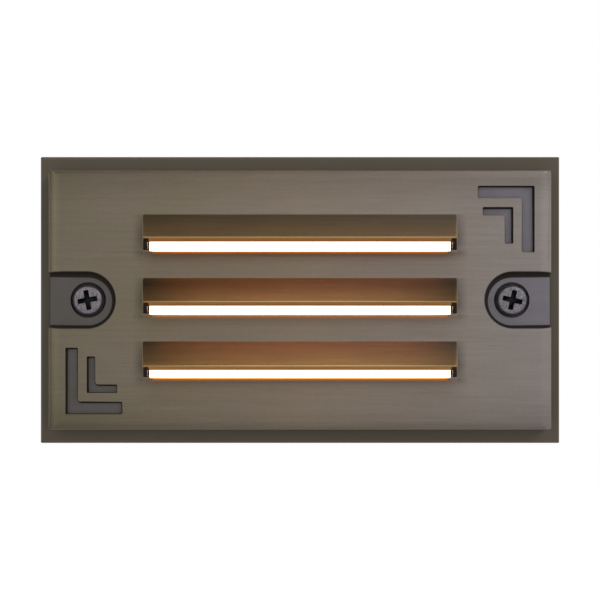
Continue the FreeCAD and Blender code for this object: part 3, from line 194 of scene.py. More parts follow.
@dataclass(frozen=True)
class Finish:
    """How one real material looks: its colours, its gloss and the marks that its making left."""

    name: str
    slot: str
    colour: str
    roughness: float
    metallic: float = 0.0
    grains: tuple[Grain, ...] = ()
    patch: str = ""
    patch_size: float = 18.0
    edge: str = ""
    specular: float = 0.5
    subsurface: float = 0.0
    glow: str = ""
    glow_strength: float = 0.0

    def ground(self, shader: Shader) -> Socket | None:
        """Add the surface's broad colour.

        Args:
            shader: the material's tree.

        Returns:
            The colour, or nothing where it is the same all over.
        """
        if not self.patch:
            return None
        cloud = sand(self.patch_size, detail=3.0).noise(shader)
        share = shader.add(
            "ShaderNodeMapRange", {"Value": cloud}, {"From Min": 0.35, "From Max": 0.65}
        )
        mixed = shader.add(
            "ShaderNodeMix",
            {0: share.outputs[0]},
            {6: linear(self.colour), 7: linear(self.patch)},
            data_type="RGBA",
        )
        return mixed.outputs[2]

    def _mix(
        self,
        shader: Shader,
        colour: Socket | None,
        links: dict[int, Socket],
        values: dict[int, object],
        blend: str = "MIX",
    ) -> Socket:
        """Lay a mark over the broad colour.

        Args:
            shader: the material's tree.
            colour: the broad colour, if it has a node.
            links: what feeds the mark's amount or its colour.
            values: the other one of the two.
            blend: how the two colours meet.

        Returns:
            The colour with its mark.
        """
        if colour is None:
            values = values | {6: linear(self.colour)}
        else:
            links = links | {6: colour}
        mixed = shader.add("ShaderNodeMix", links, values, data_type="RGBA", blend_type=blend)
        return mixed.outputs[2]

    def marked(
        self, shader: Shader, colour: Socket | None
    ) -> Socket | None:
        """Shade the colour by the grains and lighten its rubbed edges.

        Args:
            shader: the material's tree.
            colour: the broad colour, if it has a node.

        Returns:
            The finished colour, or nothing where it is the same all over.
        """
        for grain in self.grains:
            if not grain.shade:
                continue
            tone = shader.add(
                "ShaderNodeMapRange",
                {"Value": grain.noise(shader)},
                {"From Min": 0.3, "From Max": 0.7, "To Min": 1 - grain.shade, "To Max": 1 + grain.shade},
                clamp=False,
            )
            colour = self._mix(shader, colour, {7: tone.outputs[0]}, {0: 1.0}, "MULTIPLY")
        if self.edge:
            rubbed = shader.add("ShaderNodeAttribute", attribute_name=WEAR_LAYER)
            colour = self._mix(shader, colour, {0: rubbed.outputs["Fac"]}, {7: linear(self.edge)})
        return colour

    def rough(self, shader: Shader) -> Socket | None:
        """Add the grains' change of gloss.

        Args:
            shader: the material's tree.

        Returns:
            The roughness, or nothing where it is the same all over.
        """
        rough = None
        for grain in self.grains:
            if not grain.rough:
                continue
            links = {0: grain.noise(shader)}
            values = {1: 2 * grain.rough}
            if rough is None:
                values[2] = self.roughness - grain.rough
            else:
                links[2] = shader.add(
                    "ShaderNodeMath", {0: rough}, {1: grain.rough}, operation="SUBTRACT"
                ).outputs[0]
            rough = shader.add(
                "ShaderNodeMath", links, values, operation="MULTIPLY_ADD", use_clamp=True
            ).outputs[0]
        return rough

    def relief(self, shader: Shader) -> Socket | None:
        """Add the grains' height.

        Args:
            shader: the material's tree.

        Returns:
            The turned normal, or nothing where the surface is smooth.
        """
        relief = None
        for grain in self.grains:
            if grain.height:
                links = {"Height": grain.noise(shader)} | ({} if relief is None else {"Normal": relief})
                relief = shader.add(
                    "ShaderNodeBump", links, {"Strength": 1.0, "Distance": grain.height * MM}
                ).outputs[0]
        return relief

    def material(self) -> bpy.types.Material:
        """Make the material once and give it again each time it is asked for."""
        known = bpy.data.materials.get(self.name)
        if known is not None:
            return known
        shader = Shader(self.name)
        inputs = shader.surface.inputs
        for socket, value in {
            "Base Color": linear(self.colour),
            "Metallic": self.metallic,
            "Roughness": self.roughness,
            "Specular IOR Level": self.specular,
            "Subsurface Weight": self.subsurface,
            "Subsurface Scale": 0.5 * MM,
        }.items():
            inputs[socket].default_value = value
        if self.glow:
            inputs["Emission Color"].default_value = linear(self.glow)
            inputs["Emission Strength"].default_value = self.glow_strength
        for socket, source in {
            "Base Color": self.marked(shader, self.ground(shader)),
            "Roughness": self.rough(shader),
            "Normal": self.relief(shader),
        }.items():
            if source is not None:
                shader.tree.links.new(source, inputs[socket])
        return shader.material


@dataclass(frozen=True)
class PaintedLouvreLight:
    """A tone of the louvres' painted light and shade, which comes and goes down each louvre's pitch and
    out towards its ends.

    down gives amounts at shares of the pitch, from one hood's top to the next, out gives them
    at shares of LOUVRE_LIGHT_REACH from the middle, and step at shares of the way down all the louvres.
    """

    colour: str
    down: Stops
    out: Stops = ((0.0, 1.0), (1.0, 1.0))
    step: Stops = ((0.0, 1.0), (1.0, 1.0))


LOUVRES = 3
LOUVRE_TOP = 23.5
LOUVRE_PITCH = 17.45
LOUVRE_LIGHT_REACH = 50.0
LOUVRE_PAINTED_LIGHT = (
    # Painted light: the hoods' slopes turn golden towards their lips, as the warm light that spills from
    # the slot above falls on them, more on the lower hoods.
    PaintedLouvreLight("#dcb57c", ((0.0, 0.02), (0.3, 0.75), (0.37, 1.0), (0.41, 1.0), (0.43, 0.0)),
         ((0.0, 1.0), (0.863, 1.0), (0.866, 0.0)), ((0.0, 0.36), (0.33, 0.4), (0.4, 0.62), (1.0, 0.75))),
    # Painted shade: a hood's ends and its upper edge are darkened where that spill of light falls off,
    # most on the lower two hoods.
    PaintedLouvreLight("#2e281f", ((0.0, 1.0), (0.41, 1.0), (0.43, 0.0)),
         ((0.0, 0.0), (0.24, 0.0), (0.55, 0.22), (0.862, 0.74), (0.864, 0.0)),
         ((0.0, 0.1), (0.33, 0.2), (0.36, 0.85), (0.66, 0.85), (0.68, 0.7), (1.0, 0.7))),
    PaintedLouvreLight("#26281f", ((0.0, 0.42), (0.15, 0.26), (0.3, 0.0)), ((0.0, 1.0), (0.862, 1.0), (0.864, 0.0)),
         ((0.33, 0.0), (0.34, 1.0), (0.64, 1.0), (0.66, 0.15), (1.0, 0.15))),
    # Painted light and shade below each slot: a golden glow at its sill, brown shade below it, and a
    # painted shadow round the hoods' ends.
    PaintedLouvreLight("#4a3323", ((0.56, 0.0), (0.6, 0.9), (0.64, 0.75), (0.68, 0.45), (0.76, 0.22), (0.98, 0.1)),
         ((0.0, 1.0), (0.8, 1.0), (0.87, 0.5), (0.93, 0.0)),
         ((0.0, 1.0), (0.33, 1.0), (0.5, 0.7), (1.0, 0.7))),
    PaintedLouvreLight("#c98a4e", ((0.56, 0.0), (0.58, 0.5), (0.6, 0.4), (0.64, 0.12), (0.67, 0.0)),
         ((0.0, 1.0), (0.78, 1.0), (0.84, 0.0)),
         ((0.0, 0.3), (0.36, 0.3), (0.5, 1.0), (0.66, 0.3), (1.0, 0.2))),
    PaintedLouvreLight("#2f2822", ((0.0, 0.5), (0.4, 0.9), (0.58, 0.5), (0.66, 0.0)),
         ((0.863, 0.0), (0.866, 0.6), (0.92, 0.0))),
)


@dataclass(frozen=True)
class ShadedBronze(Finish):
    """Bronze that is toned dark and clear coated.

    The toning drifts from olive at the left end of the plate over brown to plum at the right; its
    darker left end and lighter right end are painted light, as if the lamps lit the right more.
    """

    middle: str = "#7f7466"
    right: str = "#7e7874"
    # Painted shade towards the plate's top and bottom edges: its colour, the span of Z over which it
    # grows and its amount.
    border_shade_colour: str = "#3a2f24"
    half_length: float = 69.0
    border: Ring = (26.0, 34.5)
    border_shade_amount: float = 0.26
    painted_lights: tuple[PaintedLouvreLight, ...] = ()

    def ground(self, shader: Shader) -> Socket | None:
        """Add the toning's drift along the plate, with its cloudy patches, the louvres' painted light and
        shade and the painted shade of the border.

        Args:
            shader: the material's tree.

        Returns:
            The colour.
        """
        along = shader.add("ShaderNodeSeparateXYZ", {0: shader.place}).outputs["X"]
        reach = self.half_length * MM
        share = shader.add(
            "ShaderNodeMapRange", {"Value": along}, {"From Min": -reach, "From Max": reach}
        )
        colours = (self.colour, self.middle, self.right)
        stops = [(place, linear(code)) for place, code in zip((0.0, 0.5, 1.0), colours)]
        drift = shader.add("ShaderNodeValToRGB", {0: share.outputs[0]}, stops=stops)
        cloud = Grain((self.patch_size, self.patch_size, self.patch_size / 2), detail=3.0)
        amount = shader.add(
            "ShaderNodeMapRange",
            {"Value": cloud.noise(shader)},
            {"From Min": 0.4, "From Max": 0.75, "To Min": 0.0, "To Max": 0.5},
        )
        toned = shader.add(
            "ShaderNodeMix",
            {0: amount.outputs[0], 6: drift.outputs[0]},
            {7: linear(self.patch)},
            data_type="RGBA",
        ).outputs[2]
        return self._paint_louvre_light(shader, toned) if self.painted_lights else toned

    def _paint_louvre_light(self, shader: Shader, toned: Socket) -> Socket:
        """Lay the painted light and shade of the louvres and the painted shade of the border over the
        toning.

        Args:
            shader: the material's tree.
            toned: the colour without it.

        Returns:
            The colour.
        """
        place = shader.add("ShaderNodeSeparateXYZ", {0: shader.place})
        end = LOUVRE_TOP - LOUVRES * LOUVRE_PITCH
        drop = shader.add(
            "ShaderNodeMapRange",
            {"Value": place.outputs["Z"]},
            {"From Min": LOUVRE_TOP * MM, "From Max": end * MM, "To Min": 0.0, "To Max": LOUVRES},
            clamp=False,
        ).outputs[0]
        begun = shader.add("ShaderNodeMath", {0: drop}, {1: 0.0}, operation="GREATER_THAN")
        ended = shader.add("ShaderNodeMath", {0: drop}, {1: LOUVRES}, operation="LESS_THAN")
        within = shader.add(
            "ShaderNodeMath", {0: begun.outputs[0], 1: ended.outputs[0]}, operation="MULTIPLY"
        ).outputs[0]
        phase = shader.add("ShaderNodeMath", {0: drop}, operation="FRACT").outputs[0]
        aside, high = [
            shader.add("ShaderNodeMath", {0: place.outputs[axis]}, operation="ABSOLUTE").outputs[0]
            for axis in "XZ"
        ]
        aside = shader.add(
            "ShaderNodeMath", {0: aside}, {1: LOUVRE_LIGHT_REACH * MM}, operation="DIVIDE"
        ).outputs[0]
        descent = shader.add("ShaderNodeMath", {0: drop}, {1: LOUVRES}, operation="DIVIDE").outputs[0]
        # These tones are the louvres' painted light and painted shade.
        for wear_and_light in self.painted_lights:
            amount = within
            for stops, source in ((wear_and_light.down, phase), (wear_and_light.out, aside), (wear_and_light.step, descent)):
                greys = [(spot, (grey, grey, grey, 1.0)) for spot, grey in stops]
                share = shader.add("ShaderNodeValToRGB", {0: source}, stops=greys).outputs["Color"]
                amount = shader.add(
                    "ShaderNodeMath", {0: amount, 1: share}, operation="MULTIPLY"
                ).outputs[0]
            toned = shader.add(
                "ShaderNodeMix", {0: amount, 6: toned}, {7: linear(wear_and_light.colour)}, data_type="RGBA"
            ).outputs[2]
        # Painted shade: the face darkens towards its top and bottom edges.
        border = shader.add(
            "ShaderNodeMapRange",
            {"Value": high},
            {"From Min": self.border[0] * MM, "From Max": self.border[1] * MM,
             "To Min": 0.0, "To Max": self.border_shade_amount},
        ).outputs[0]
        return shader.add(
            "ShaderNodeMix", {0: border, 6: toned}, {7: linear(self.border_shade_colour)}, data_type="RGBA"
        ).outputs[2]


# Antique bronze, linished along its length: fine level scratches about 0.1 mm apart, drawn at
# 0.3 mm so that they show, and a soft broad sheen with no mirror in it. Its left end is painted
# darker and its right end lighter, as painted light, over the toning's olive to plum drift.
BRUSHED = ShadedBronze(
    "brushed_antique_bronze", "brushed_bronze", "#66604f", 0.42, 1.0,
    grains=(
        Grain((14.0, 3.0, 0.3), shade=0.06, rough=0.07, height=0.004),
        Grain((45.0, 6.0, 0.9), shade=0.03),
        sand(0.5, shade=0.03),
    ),
    # The louvres' tones laid over it are painted light and shade.
    patch="#766b66", patch_size=26.0, edge="#8f8474", painted_lights=LOUVRE_PAINTED_LIGHT,
)
# The same bronze inside the louvres, where a cutter left it bare and golden.
MACHINED = Finish(
    "machined_bronze", "brushed_bronze", "#96764a", 0.38, 1.0,
    grains=(Grain((9.0, 0.35, 0.35), shade=0.08, rough=0.06, height=0.004),),
)
# The hoods' undersides, painted golden with the warm glow of the slots, which the lens's light
# doesn't reach there: warm, with little mirror in it.
LIP_PAINTED_GLOW = Finish(
    "lip_bronze_painted_glow", "brushed_bronze", "#b57c3c", 0.55, 0.3,
    grains=(Grain((9.0, 0.35, 0.35), shade=0.08, rough=0.06, height=0.004),),
)
# Recessed bronze left as the mould made it, with a dead matt plum-grey tone and a sandy grain,
# painted darker at the left end and lighter at the right, as painted light, as the face is.
RECESS = ShadedBronze(
    "matt_toned_recess", "brushed_bronze", "#57544f", 0.6, 0.8,
    grains=(sand(0.35, shade=0.05, rough=0.06, height=0.008),),
    patch="#5f5c60", patch_size=9.0, specular=0.3, middle="#625e60", right="#706d73",
)
# The steep walls of those recesses, strips of their floors at the walls' foot and the insides of the
# hoods' ends: toning that ran together there, painted nearly black for the shade and shadow there too.
TONING_AND_SHADE = Finish(
    "toning_and_painted_shade", "brushed_bronze", "#1f1912", 0.75, 0.1,
    grains=(sand(0.5, shade=0.15),), specular=0.3,
)
# The back of the casting: dull, brown and grainy from the mould's sand.
CAST_BACK = Finish(
    "as_cast_bronze", "brushed_bronze", "#6b5a44", 0.62, 0.9,
    grains=(sand(0.5, shade=0.1, rough=0.08, height=0.02),), patch="#54483a",
)
# Die cast aluminium under a dark bronze powder coat: an even satin skin with a fine orange peel.
POWDER_COAT = Finish(
    "dark_bronze_powder_coat", "bronze_coat", "#4d4538", 0.5,
    grains=(
        sand(0.6, shade=0.04, rough=0.05, height=0.008),
        Grain((30.0, 30.0, 12.0), shade=0.04),
    ),
    edge="#5a5145", specular=0.35,
)
# Opal acrylic, sanded inside, lit from behind by warm white LEDs: an even warm glow.
LIT_OPAL = Finish(
    "lit_opal_acrylic", "frosted_lens", "#f4ead6", 0.45,
    grains=(sand(0.4, height=0.004),), glow="#ffd2a2", glow_strength=4.6,
)
# The same opal beyond the reflector's mouth, where little light reaches it.
SHADED_OPAL = Finish(
    "shaded_opal_acrylic", "frosted_lens", "#5a3d22", 0.45,
    grains=(sand(0.4, height=0.004),),
)
# Gloss white moulded ABS.
REFLECTOR_WHITE = Finish(
    "white_moulded_reflector", "white_reflector", "#e6e6e1", 0.28,
    grains=(sand(6.0, height=0.02), sand(25.0, shade=0.02)),
)
# Moulded black silicone: dark, soft and slightly dusty.
SILICONE = Finish(
    "black_silicone", "silicone_rubber", "#232324", 0.62,
    grains=(sand(0.5, shade=0.12, rough=0.08, height=0.006),), edge="#303031",
)
# Rolled stainless sheet with its mill grain along the length.
STAINLESS = Finish(
    "rolled_stainless_sheet", "retainer_steel", "#a9a8a6", 0.34, 1.0,
    grains=(Grain((18.0, 1.0, 0.35), shade=0.05, rough=0.08, height=0.003),),
    patch="#9c9b9b", edge="#c4c3c0",
)
# Stainless screws dipped in the same toning as the face: dark grey with bright rubbed edges.
TONED_STEEL = Finish(
    "toned_stainless_steel", "screw_steel", "#6f6b71", 0.4, 0.85,
    grains=(sand(0.4, shade=0.45, rough=0.1, height=0.012),), edge="#aeaaab",
)
# The inside of a cross recess, painted nearly black for the shade in it, with the toning that pools there
# on the toned screws.
DARK_RECESS = Finish(
    "recess_toning_and_painted_shade", "screw_steel", "#1d1b1d", 0.7, 0.6,
    grains=(sand(0.4, shade=0.2),),
)
# Bright zinc plate on steel, slightly blue and slightly uneven.
ZINC = Finish(
    "zinc_plated_steel", "zinc_steel", "#b4b6ba", 0.3, 1.0,
    grains=(sand(0.8, shade=0.06, rough=0.1, height=0.003),), patch="#a9a79d",
    patch_size=2.5, edge="#d2d3d3",
)
# The inside of a small cross recess: the same zinc, darker and grey.
ZINC_RECESS = Finish(
    "darker_zinc_recess", "zinc_steel", "#5c5d60", 0.45, 0.9,
    grains=(sand(0.4, shade=0.12),),
)
# Turned brass, yellow and fairly bright.
BRASS = Finish(
    "turned_brass", "insert_brass", "#c09a54", 0.3, 1.0,
    grains=(sand(0.3, shade=0.05, rough=0.08),), patch="#a9854a", patch_size=3.0,
    edge="#dcbd7e",
)
# White solder mask over a glass board: even, with a low gloss.
SOLDER_MASK = Finish(
    "white_solder_mask", "board_white", "#e4e6e2", 0.36,
    grains=(sand(0.8, rough=0.05, height=0.004), sand(8.0, shade=0.02)),
)
# Reflowed solder: bright, grey and smooth with a rounded fillet.
SOLDER = Finish(
    "reflowed_solder", "zinc_steel", "#b9bab8", 0.24, 1.0, grains=(sand(0.5, shade=0.08),),
)
# The white resin cup of an LED.
LED_CUP = Finish(
    "led_resin_cup", "board_white", "#f0ede2", 0.4, grains=(sand(0.6, shade=0.02),),
)
# Yellow phosphor in clear silicone, lit.
PHOSPHOR = Finish(
    "lit_phosphor", "led_phosphor", "#f0c552", 0.3,
    grains=(sand(0.15, shade=0.08),), glow="#ffc070", glow_strength=2.2,
)
# Natural nylon, ivory and faintly see-through.
IVORY_NYLON = Finish(
    "ivory_nylon", "connector_plastic", "#dfdbcb", 0.42, subsurface=0.15,
    grains=(sand(0.7, rough=0.06, height=0.004),), edge="#ece9dd",
)
# Silicone gap filler: soft, grey and slightly greasy.
GAP_FILLER = Finish(
    "silicone_gap_filler", "thermal_grey", "#7f8894", 0.55,
    grains=(sand(0.6, shade=0.06, rough=0.1, height=0.01),),
)
# Mill finish aluminium sheet with the roll's grain along X.
MILL_ALUMINIUM = Finish(
    "mill_finish_aluminium", "tray_aluminium", "#c6c7c9", 0.33, 1.0,
    grains=(Grain((22.0, 1.2, 0.4), shade=0.05, rough=0.07, height=0.003),), patch="#b6b7ba",
    edge="#dadbdc",
)
# Spark-textured black ABS: matt with a fine even grain.
BLACK_ABS = Finish(
    "textured_black_abs", "driver_plastic", "#1f1f21", 0.55,
    grains=(sand(0.35, shade=0.12, rough=0.1, height=0.012),), edge="#2d2d30",
)
# Poured black resin: glossy, with slow ripples from the way it set.
POTTING = Finish(
    "poured_black_resin", "potting_resin", "#101012", 0.16,
    grains=(sand(5.0, height=0.05), sand(1.2, rough=0.06)),
)
# Pale grey nylon of a terminal strip.
GREY_NYLON = Finish(
    "grey_moulded_nylon", "terminal_plastic", "#c9c9c0", 0.45, subsurface=0.08,
    grains=(sand(0.6, rough=0.07, height=0.005),), edge="#dadad3",
)
# Black nylon of a cable gland: satin, with faint flow marks.
BLACK_NYLON = Finish(
    "black_moulded_nylon", "gland_plastic", "#1c1c1e", 0.42,
    grains=(
        sand(0.5, shade=0.08, rough=0.07, height=0.005),
        sand(10.0, shade=0.08),
    ),
    edge="#2b2b2e",
)


def insulation(slot: str, colour: str) -> Finish:
    """The soft PVC of a lead: satin, with drawing marks that run round it.

    Args:
        slot: the record's slot of the lead.
        colour: the PVC's colour.

    Returns:
        The finish.
    """
    return Finish(
        f"pvc_{slot}", slot, colour, 0.38,
        grains=(sand(1.0, shade=0.05, rough=0.06, height=0.005),),
    )


# ------------------------------------------------------------------ making meshes


# A thread's outline over one pitch: whether a point is on the crest, and its share of the pitch.
THREAD_PROFILE = ((False, 0.0), (False, 0.14), (True, 0.46), (True, 0.56), (False, 0.88), (False, 1.0))

def unique(elements: Iterable[Element]) -> list[Element]:
    """Give each element once, in the order in which they come, so that every run is the same."""
    return list(dict.fromkeys(elements))


class Workpiece:
    """One mesh in the making, in millimetres in the light's frame."""

    def __init__(self, node: str | None = None) -> None:
        """Start empty, or from a merged copy of a CAD node with its flat faces made whole.

        Args:
            node: the CAD node's name.
        """
        self.mesh = bmesh.new()
        self.node = node
        if node is not None:
            self.mesh.from_mesh(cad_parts[node].data)
            bmesh.ops.scale(self.mesh, vec=(1 / MM,) * 3, verts=self.mesh.verts)
            bmesh.ops.remove_doubles(self.mesh, verts=self.mesh.verts, dist=MERGE)
            bmesh.ops.dissolve_limit(
                self.mesh,
                angle_limit=math.radians(FLAT_DEGREES),
                verts=self.mesh.verts,
                edges=self.mesh.edges,
                delimit=set(),
            )
        self.wear_and_light = self.mesh.faces.layers.float.new(WEAR_LAYER)

    def grow(
        self,
        edges: Sequence[Edge],
        rings: Sequence[Ring],
        flats: float = 0.0,
        even: bool = False,
    ) -> list[Edge]:
        """Extrude a loop about the Y axis through rings of a radius and a depth.

        Args:
            edges: the loop to start from.
            rings: the radius and the depth of each ring.
            flats: the distance across the hexagon's flats that no ring passes, or 0.
            even: whether the rings' points are spread evenly round the axis.

        Returns:
            The last ring's edges.
        """
        for radius, depth in rings:
            made = bmesh.ops.extrude_edge_only(self.mesh, edges=edges)["geom"]
            verts = [v for v in made if isinstance(v, Vert)]
            fresh = set(verts)
            edges = [
                e for e in made
                if isinstance(e, Edge) and e.verts[0] in fresh and e.verts[1] in fresh
            ]
            if even:
                self._spread(verts)
                even = False
            self._set_ring(verts, radius, depth, flats)
        return edges

    @staticmethod
    def _spread(verts: Sequence[Vert]) -> None:
        """Turn a loop's points about the axis until they are evenly apart, in their order."""
        ranked = sorted(verts, key=lambda v: math.atan2(v.co.z, v.co.x))
        step = TURN / len(ranked)
        angles = [math.atan2(v.co.z, v.co.x) for v in ranked]
        start = sum(angle - step * rank for rank, angle in enumerate(angles)) / len(ranked)
        for rank, vert in enumerate(ranked):
            angle = start + step * rank
            vert.co = Vector((math.cos(angle), vert.co.y, math.sin(angle)))

    @staticmethod
    def _set_ring(
        verts: Sequence[Vert], radius: float, depth: float, flats: float
    ) -> None:
        """Move a loop's points to a ring of a radius and a depth, each at its own angle."""
        for vert in verts:
            angle = math.atan2(vert.co.z, vert.co.x)
            limit = flats / 2 / math.cos(angle % (TURN / 6) - TURN / 12) if flats else radius
            reach = min(radius, limit)
            vert.co = Vector((reach * math.cos(angle), depth, reach * math.sin(angle)))

    def turn(
        self, rings: Sequence[Ring], sides: int, centre: Place = (0.0, 0.0), flats: float = 0.0
    ) -> None:
        """Make a round or hexagonal solid round a bore, from rings of a radius and a depth.

        Args:
            rings: the radius and the depth of each ring, of which the last joins the first.
            sides: how many sides a ring has.
            centre: the axis's X and Z.
            flats: the distance across a hexagon's flats that no ring passes, or 0.
        """
        before = set(self.mesh.verts)
        circle = bmesh.ops.create_circle(self.mesh, segments=sides, radius=1.0)["verts"]
        upright = Matrix.Rotation(TURN / 4, 3, "X")
        bmesh.ops.rotate(self.mesh, verts=circle, cent=(0, 0, 0), matrix=upright)
        first = unique(e for v in circle for e in v.link_edges)
        self._set_ring(circle, rings[0][0], rings[0][1], flats)
        last = self.grow(first, rings[1:], flats)
        bmesh.ops.bridge_loops(self.mesh, edges=first + last)
        made = [v for v in self.mesh.verts if v not in before]
        bmesh.ops.translate(self.mesh, vec=(centre[0], 0, centre[1]), verts=made)

    def block(
        self, low: Point, high: Point, edge: float = 0.0, segments: int = 1
    ) -> list[Vert]:
        """Make a block with softened edges.

        Args:
            low: its lowest corner.
            high: its highest corner.
            edge: how far its edges are rounded.
            segments: the steps of that rounding.

        Returns:
            The new points.
        """
        before = set(self.mesh.verts)
        made = bmesh.ops.create_cube(self.mesh, size=1.0)["verts"]
        lowest, highest = Vector(low), Vector(high)
        bmesh.ops.scale(self.mesh, vec=highest - lowest, verts=made)
        bmesh.ops.translate(self.mesh, vec=(lowest + highest) / 2, verts=made)
        if edge:
            self.bevel(unique(e for v in made for e in v.link_edges), edge, segments)
        return [v for v in self.mesh.verts if v not in before]

    def bevel(self, edges: Sequence[Edge], width: float, segments: int) -> None:
        """Round some edges and mark what they become as rubbed.

        Args:
            edges: the edges.
            width: how far the rounding reaches on each side.
            segments: its steps.
        """
        made = bmesh.ops.bevel(
            self.mesh, geom=edges, offset=width, offset_type="OFFSET", segments=segments,
            profile=0.5, affect="EDGES", clamp_overlap=False, material=-1,
        )
        for face in made["faces"]:
            face[self.wear_and_light] = 1.0

    def soften(
        self,
        width: float,
        segments: int = 1,
        sharper: float = SHARP_DEGREES,
        where: Callable[[Edge], bool] | None = None,
    ) -> None:
        """Round the sharp edges that stand out of the surface.

        Args:
            width: how far the rounding reaches on each side.
            segments: its steps.
            sharper: the turn in degrees from which an edge is sharp.
            where: which edges, if not all.
        """
        limit = math.radians(sharper)
        edges = [
            e for e in self.mesh.edges
            if e.is_manifold and e.calc_face_angle(0.0) > limit and e.is_convex
            and e.calc_length() > 2 * width and (where is None or where(e))
        ]
        self.bevel(edges, width, segments)

    def thread(
        self, core: float, crest: float, pitch: float, start: float, end: float, sides: int
    ) -> tuple[list[Edge], list[Edge]]:
        """Wind a right-hand thread about the Y axis and cut it square at both ends.

        Args:
            core: the radius at the root.
            crest: the radius at the crest.
            pitch: the advance of one turn.
            start: the depth of its start.
            end: the depth of its end.
            sides: the steps of one turn.

        Returns:
            The loops of edges at its start and at its end.
        """
        turns = math.ceil((end - start) / pitch) + 2
        verts = [
            self.mesh.verts.new((crest if high else core, start + (share - 1.0) * pitch, 0))
            for high, share in THREAD_PROFILE
        ]
        edges = [self.mesh.edges.new(pair) for pair in zip(verts, verts[1:])]
        before = set(self.mesh.verts) - set(verts)
        bmesh.ops.spin(
            self.mesh, geom=verts + edges, cent=(0, 0, 0), axis=(0, 1, 0),
            dvec=(0, pitch / sides, 0), angle=TURN * turns, steps=sides * turns,
        )
        made = [v for v in self.mesh.verts if v not in before]
        bmesh.ops.remove_doubles(self.mesh, verts=made, dist=LEVEL)
        loops = []
        for depth, outward in ((start, -1), (end, 1)):
            made = [v for v in self.mesh.verts if v not in before]
            geom = made + unique(g for v in made for g in (*v.link_edges, *v.link_faces))
            cut = bmesh.ops.bisect_plane(
                self.mesh, geom=geom, plane_co=(0, depth, 0), plane_no=(0, outward, 0),
                clear_outer=True, dist=MERGE,
            )["geom_cut"]
            loops.append([e for e in cut if isinstance(e, Edge)])
        return [e for e in loops[0] if e.is_valid], loops[1]

    def slice(self, faces: Iterable[Face], axis: int, where: float) -> None:
        """Cut some faces along a plane, and keep both sides of it.

        Args:
            faces: the faces.
            axis: the number of the axis that the plane stands across.
            where: where it crosses that axis.
        """
        spot, way = Vector(), Vector()
        spot[axis], way[axis] = where, 1.0
        geom = unique(g for f in faces for g in (*f.verts, *f.edges, f))
        bmesh.ops.bisect_plane(self.mesh, geom=geom, plane_co=spot, plane_no=way, dist=LEVEL)

    def paint(self, number: int, where: Callable[[Face], bool]) -> None:
        """Give the faces that a test picks the finish of that number."""
        for face in self.mesh.faces:
            if where(face):
                face.material_index = number

    def done(self, name: str, body: Body, finishes: Sequence[Finish], node: str = "") -> None:
        """Make the mesh an object that rides on a body.

        Args:
            name: the piece's name.
            body: the body that it moves with.
            finishes: its finishes, by face number.
            node: the CAD node that it is shown for, if any.
        """
        if self.node is None:
            bmesh.ops.recalc_face_normals(self.mesh, faces=self.mesh.faces)
        limit = math.radians(SMOOTH_DEGREES)
        for edge in self.mesh.edges:
            edge.smooth = edge.is_manifold and edge.calc_face_angle(TURN) < limit
        for face in self.mesh.faces:
            face.smooth = True
        open_edges = sum(not e.is_manifold for e in self.mesh.edges)
        bmesh.ops.scale(self.mesh, vec=(MM,) * 3, verts=self.mesh.verts)
        data = bpy.data.meshes.new(name)
        self.mesh.to_mesh(data)
        self.mesh.free()
        for finish in finishes:
            data.materials.append(finish.material())
        piece = bpy.data.objects.new(name, data)
        bpy.context.scene.collection.objects.link(piece)
        flat = piece.modifiers.new("weighted_normals", "WEIGHTED_NORMAL")
        flat.keep_sharp = True
        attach(piece, body.value)
        if node:
            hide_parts(node)
        faces = len(data.polygons)
        LOG.info("%s: %d faces, %d open edges, on %s", name, faces, open_edges, body.value)


def rounded(
    node: str,
    name: str,
    body: Body,
    finish: Finish,
    width: float,
    segments: int = 1,
    sharper: float = SHARP_DEGREES,
) -> None:
    """Show a CAD node with its sharp edges rounded.

    Args:
        node: the node.
        name: the piece's name.
        body: the body that it moves with.
        finish: its finish.
        width: how far the rounding reaches on each side.
        segments: its steps.
        sharper: the turn in degrees from which an edge is rounded.
    """
    work = Workpiece(node)
    work.soften(width, segments, sharper)
    work.done(name, body, (finish,), node)


def turned(
    node: str,
    name: str,
    body: Body,
    finish: Finish,
    rings: Sequence[Ring],
    sides: int,
    places: Sequence[Place],
    flats: float = 0.0,
) -> None:
    """Show a CAD node as solids that are turned round a bore.

    Args:
        node: the node.
        name: the piece's name.
        body: the body that it moves with.
        finish: its finish.
        rings: the radius and the depth of each ring.
        sides: how many sides a ring has.
        places: the X and Z of each solid's axis.
        flats: the distance across a hexagon's flats, or 0.
    """
    work = Workpiece()
    for place in places:
        work.turn(rings, sides, place, flats)
    work.done(name, body, (finish,), node)


def dress(node: str, finish: Finish) -> None:
    """Give a CAD node that keeps its own shape a better material.

    Args:
        node: the node.
        finish: its finish.
    """
    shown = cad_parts[node]
    shown.data.materials.clear()
    shown.data.materials.append(finish.material())
    LOG.info("%s: dressed in %s", node, finish.name)


# ------------------------------------------------------------------ screws


# How a pan head follows from its size: the rounding of the cross's corners as a share of its
# arms' width, each step of its walls inwards and down, the head's flat top, its crown, its foot.
CROSS_ROUNDING = 0.16
CROSS_STEPS = ((0.04, 0.3), (0.08, 0.35), (0.14, 0.35))
CROWN_BORDER = 1.07
CROWN_FLAT = 0.8
CROWN_DROP = 0.4
CROWN_STEPS = (0.25, 0.5, 0.75, 1.0)
HEAD_FOOT = (0.08, 0.06)
THREAD_START = 0.35
TIP_TAPER = 0.7

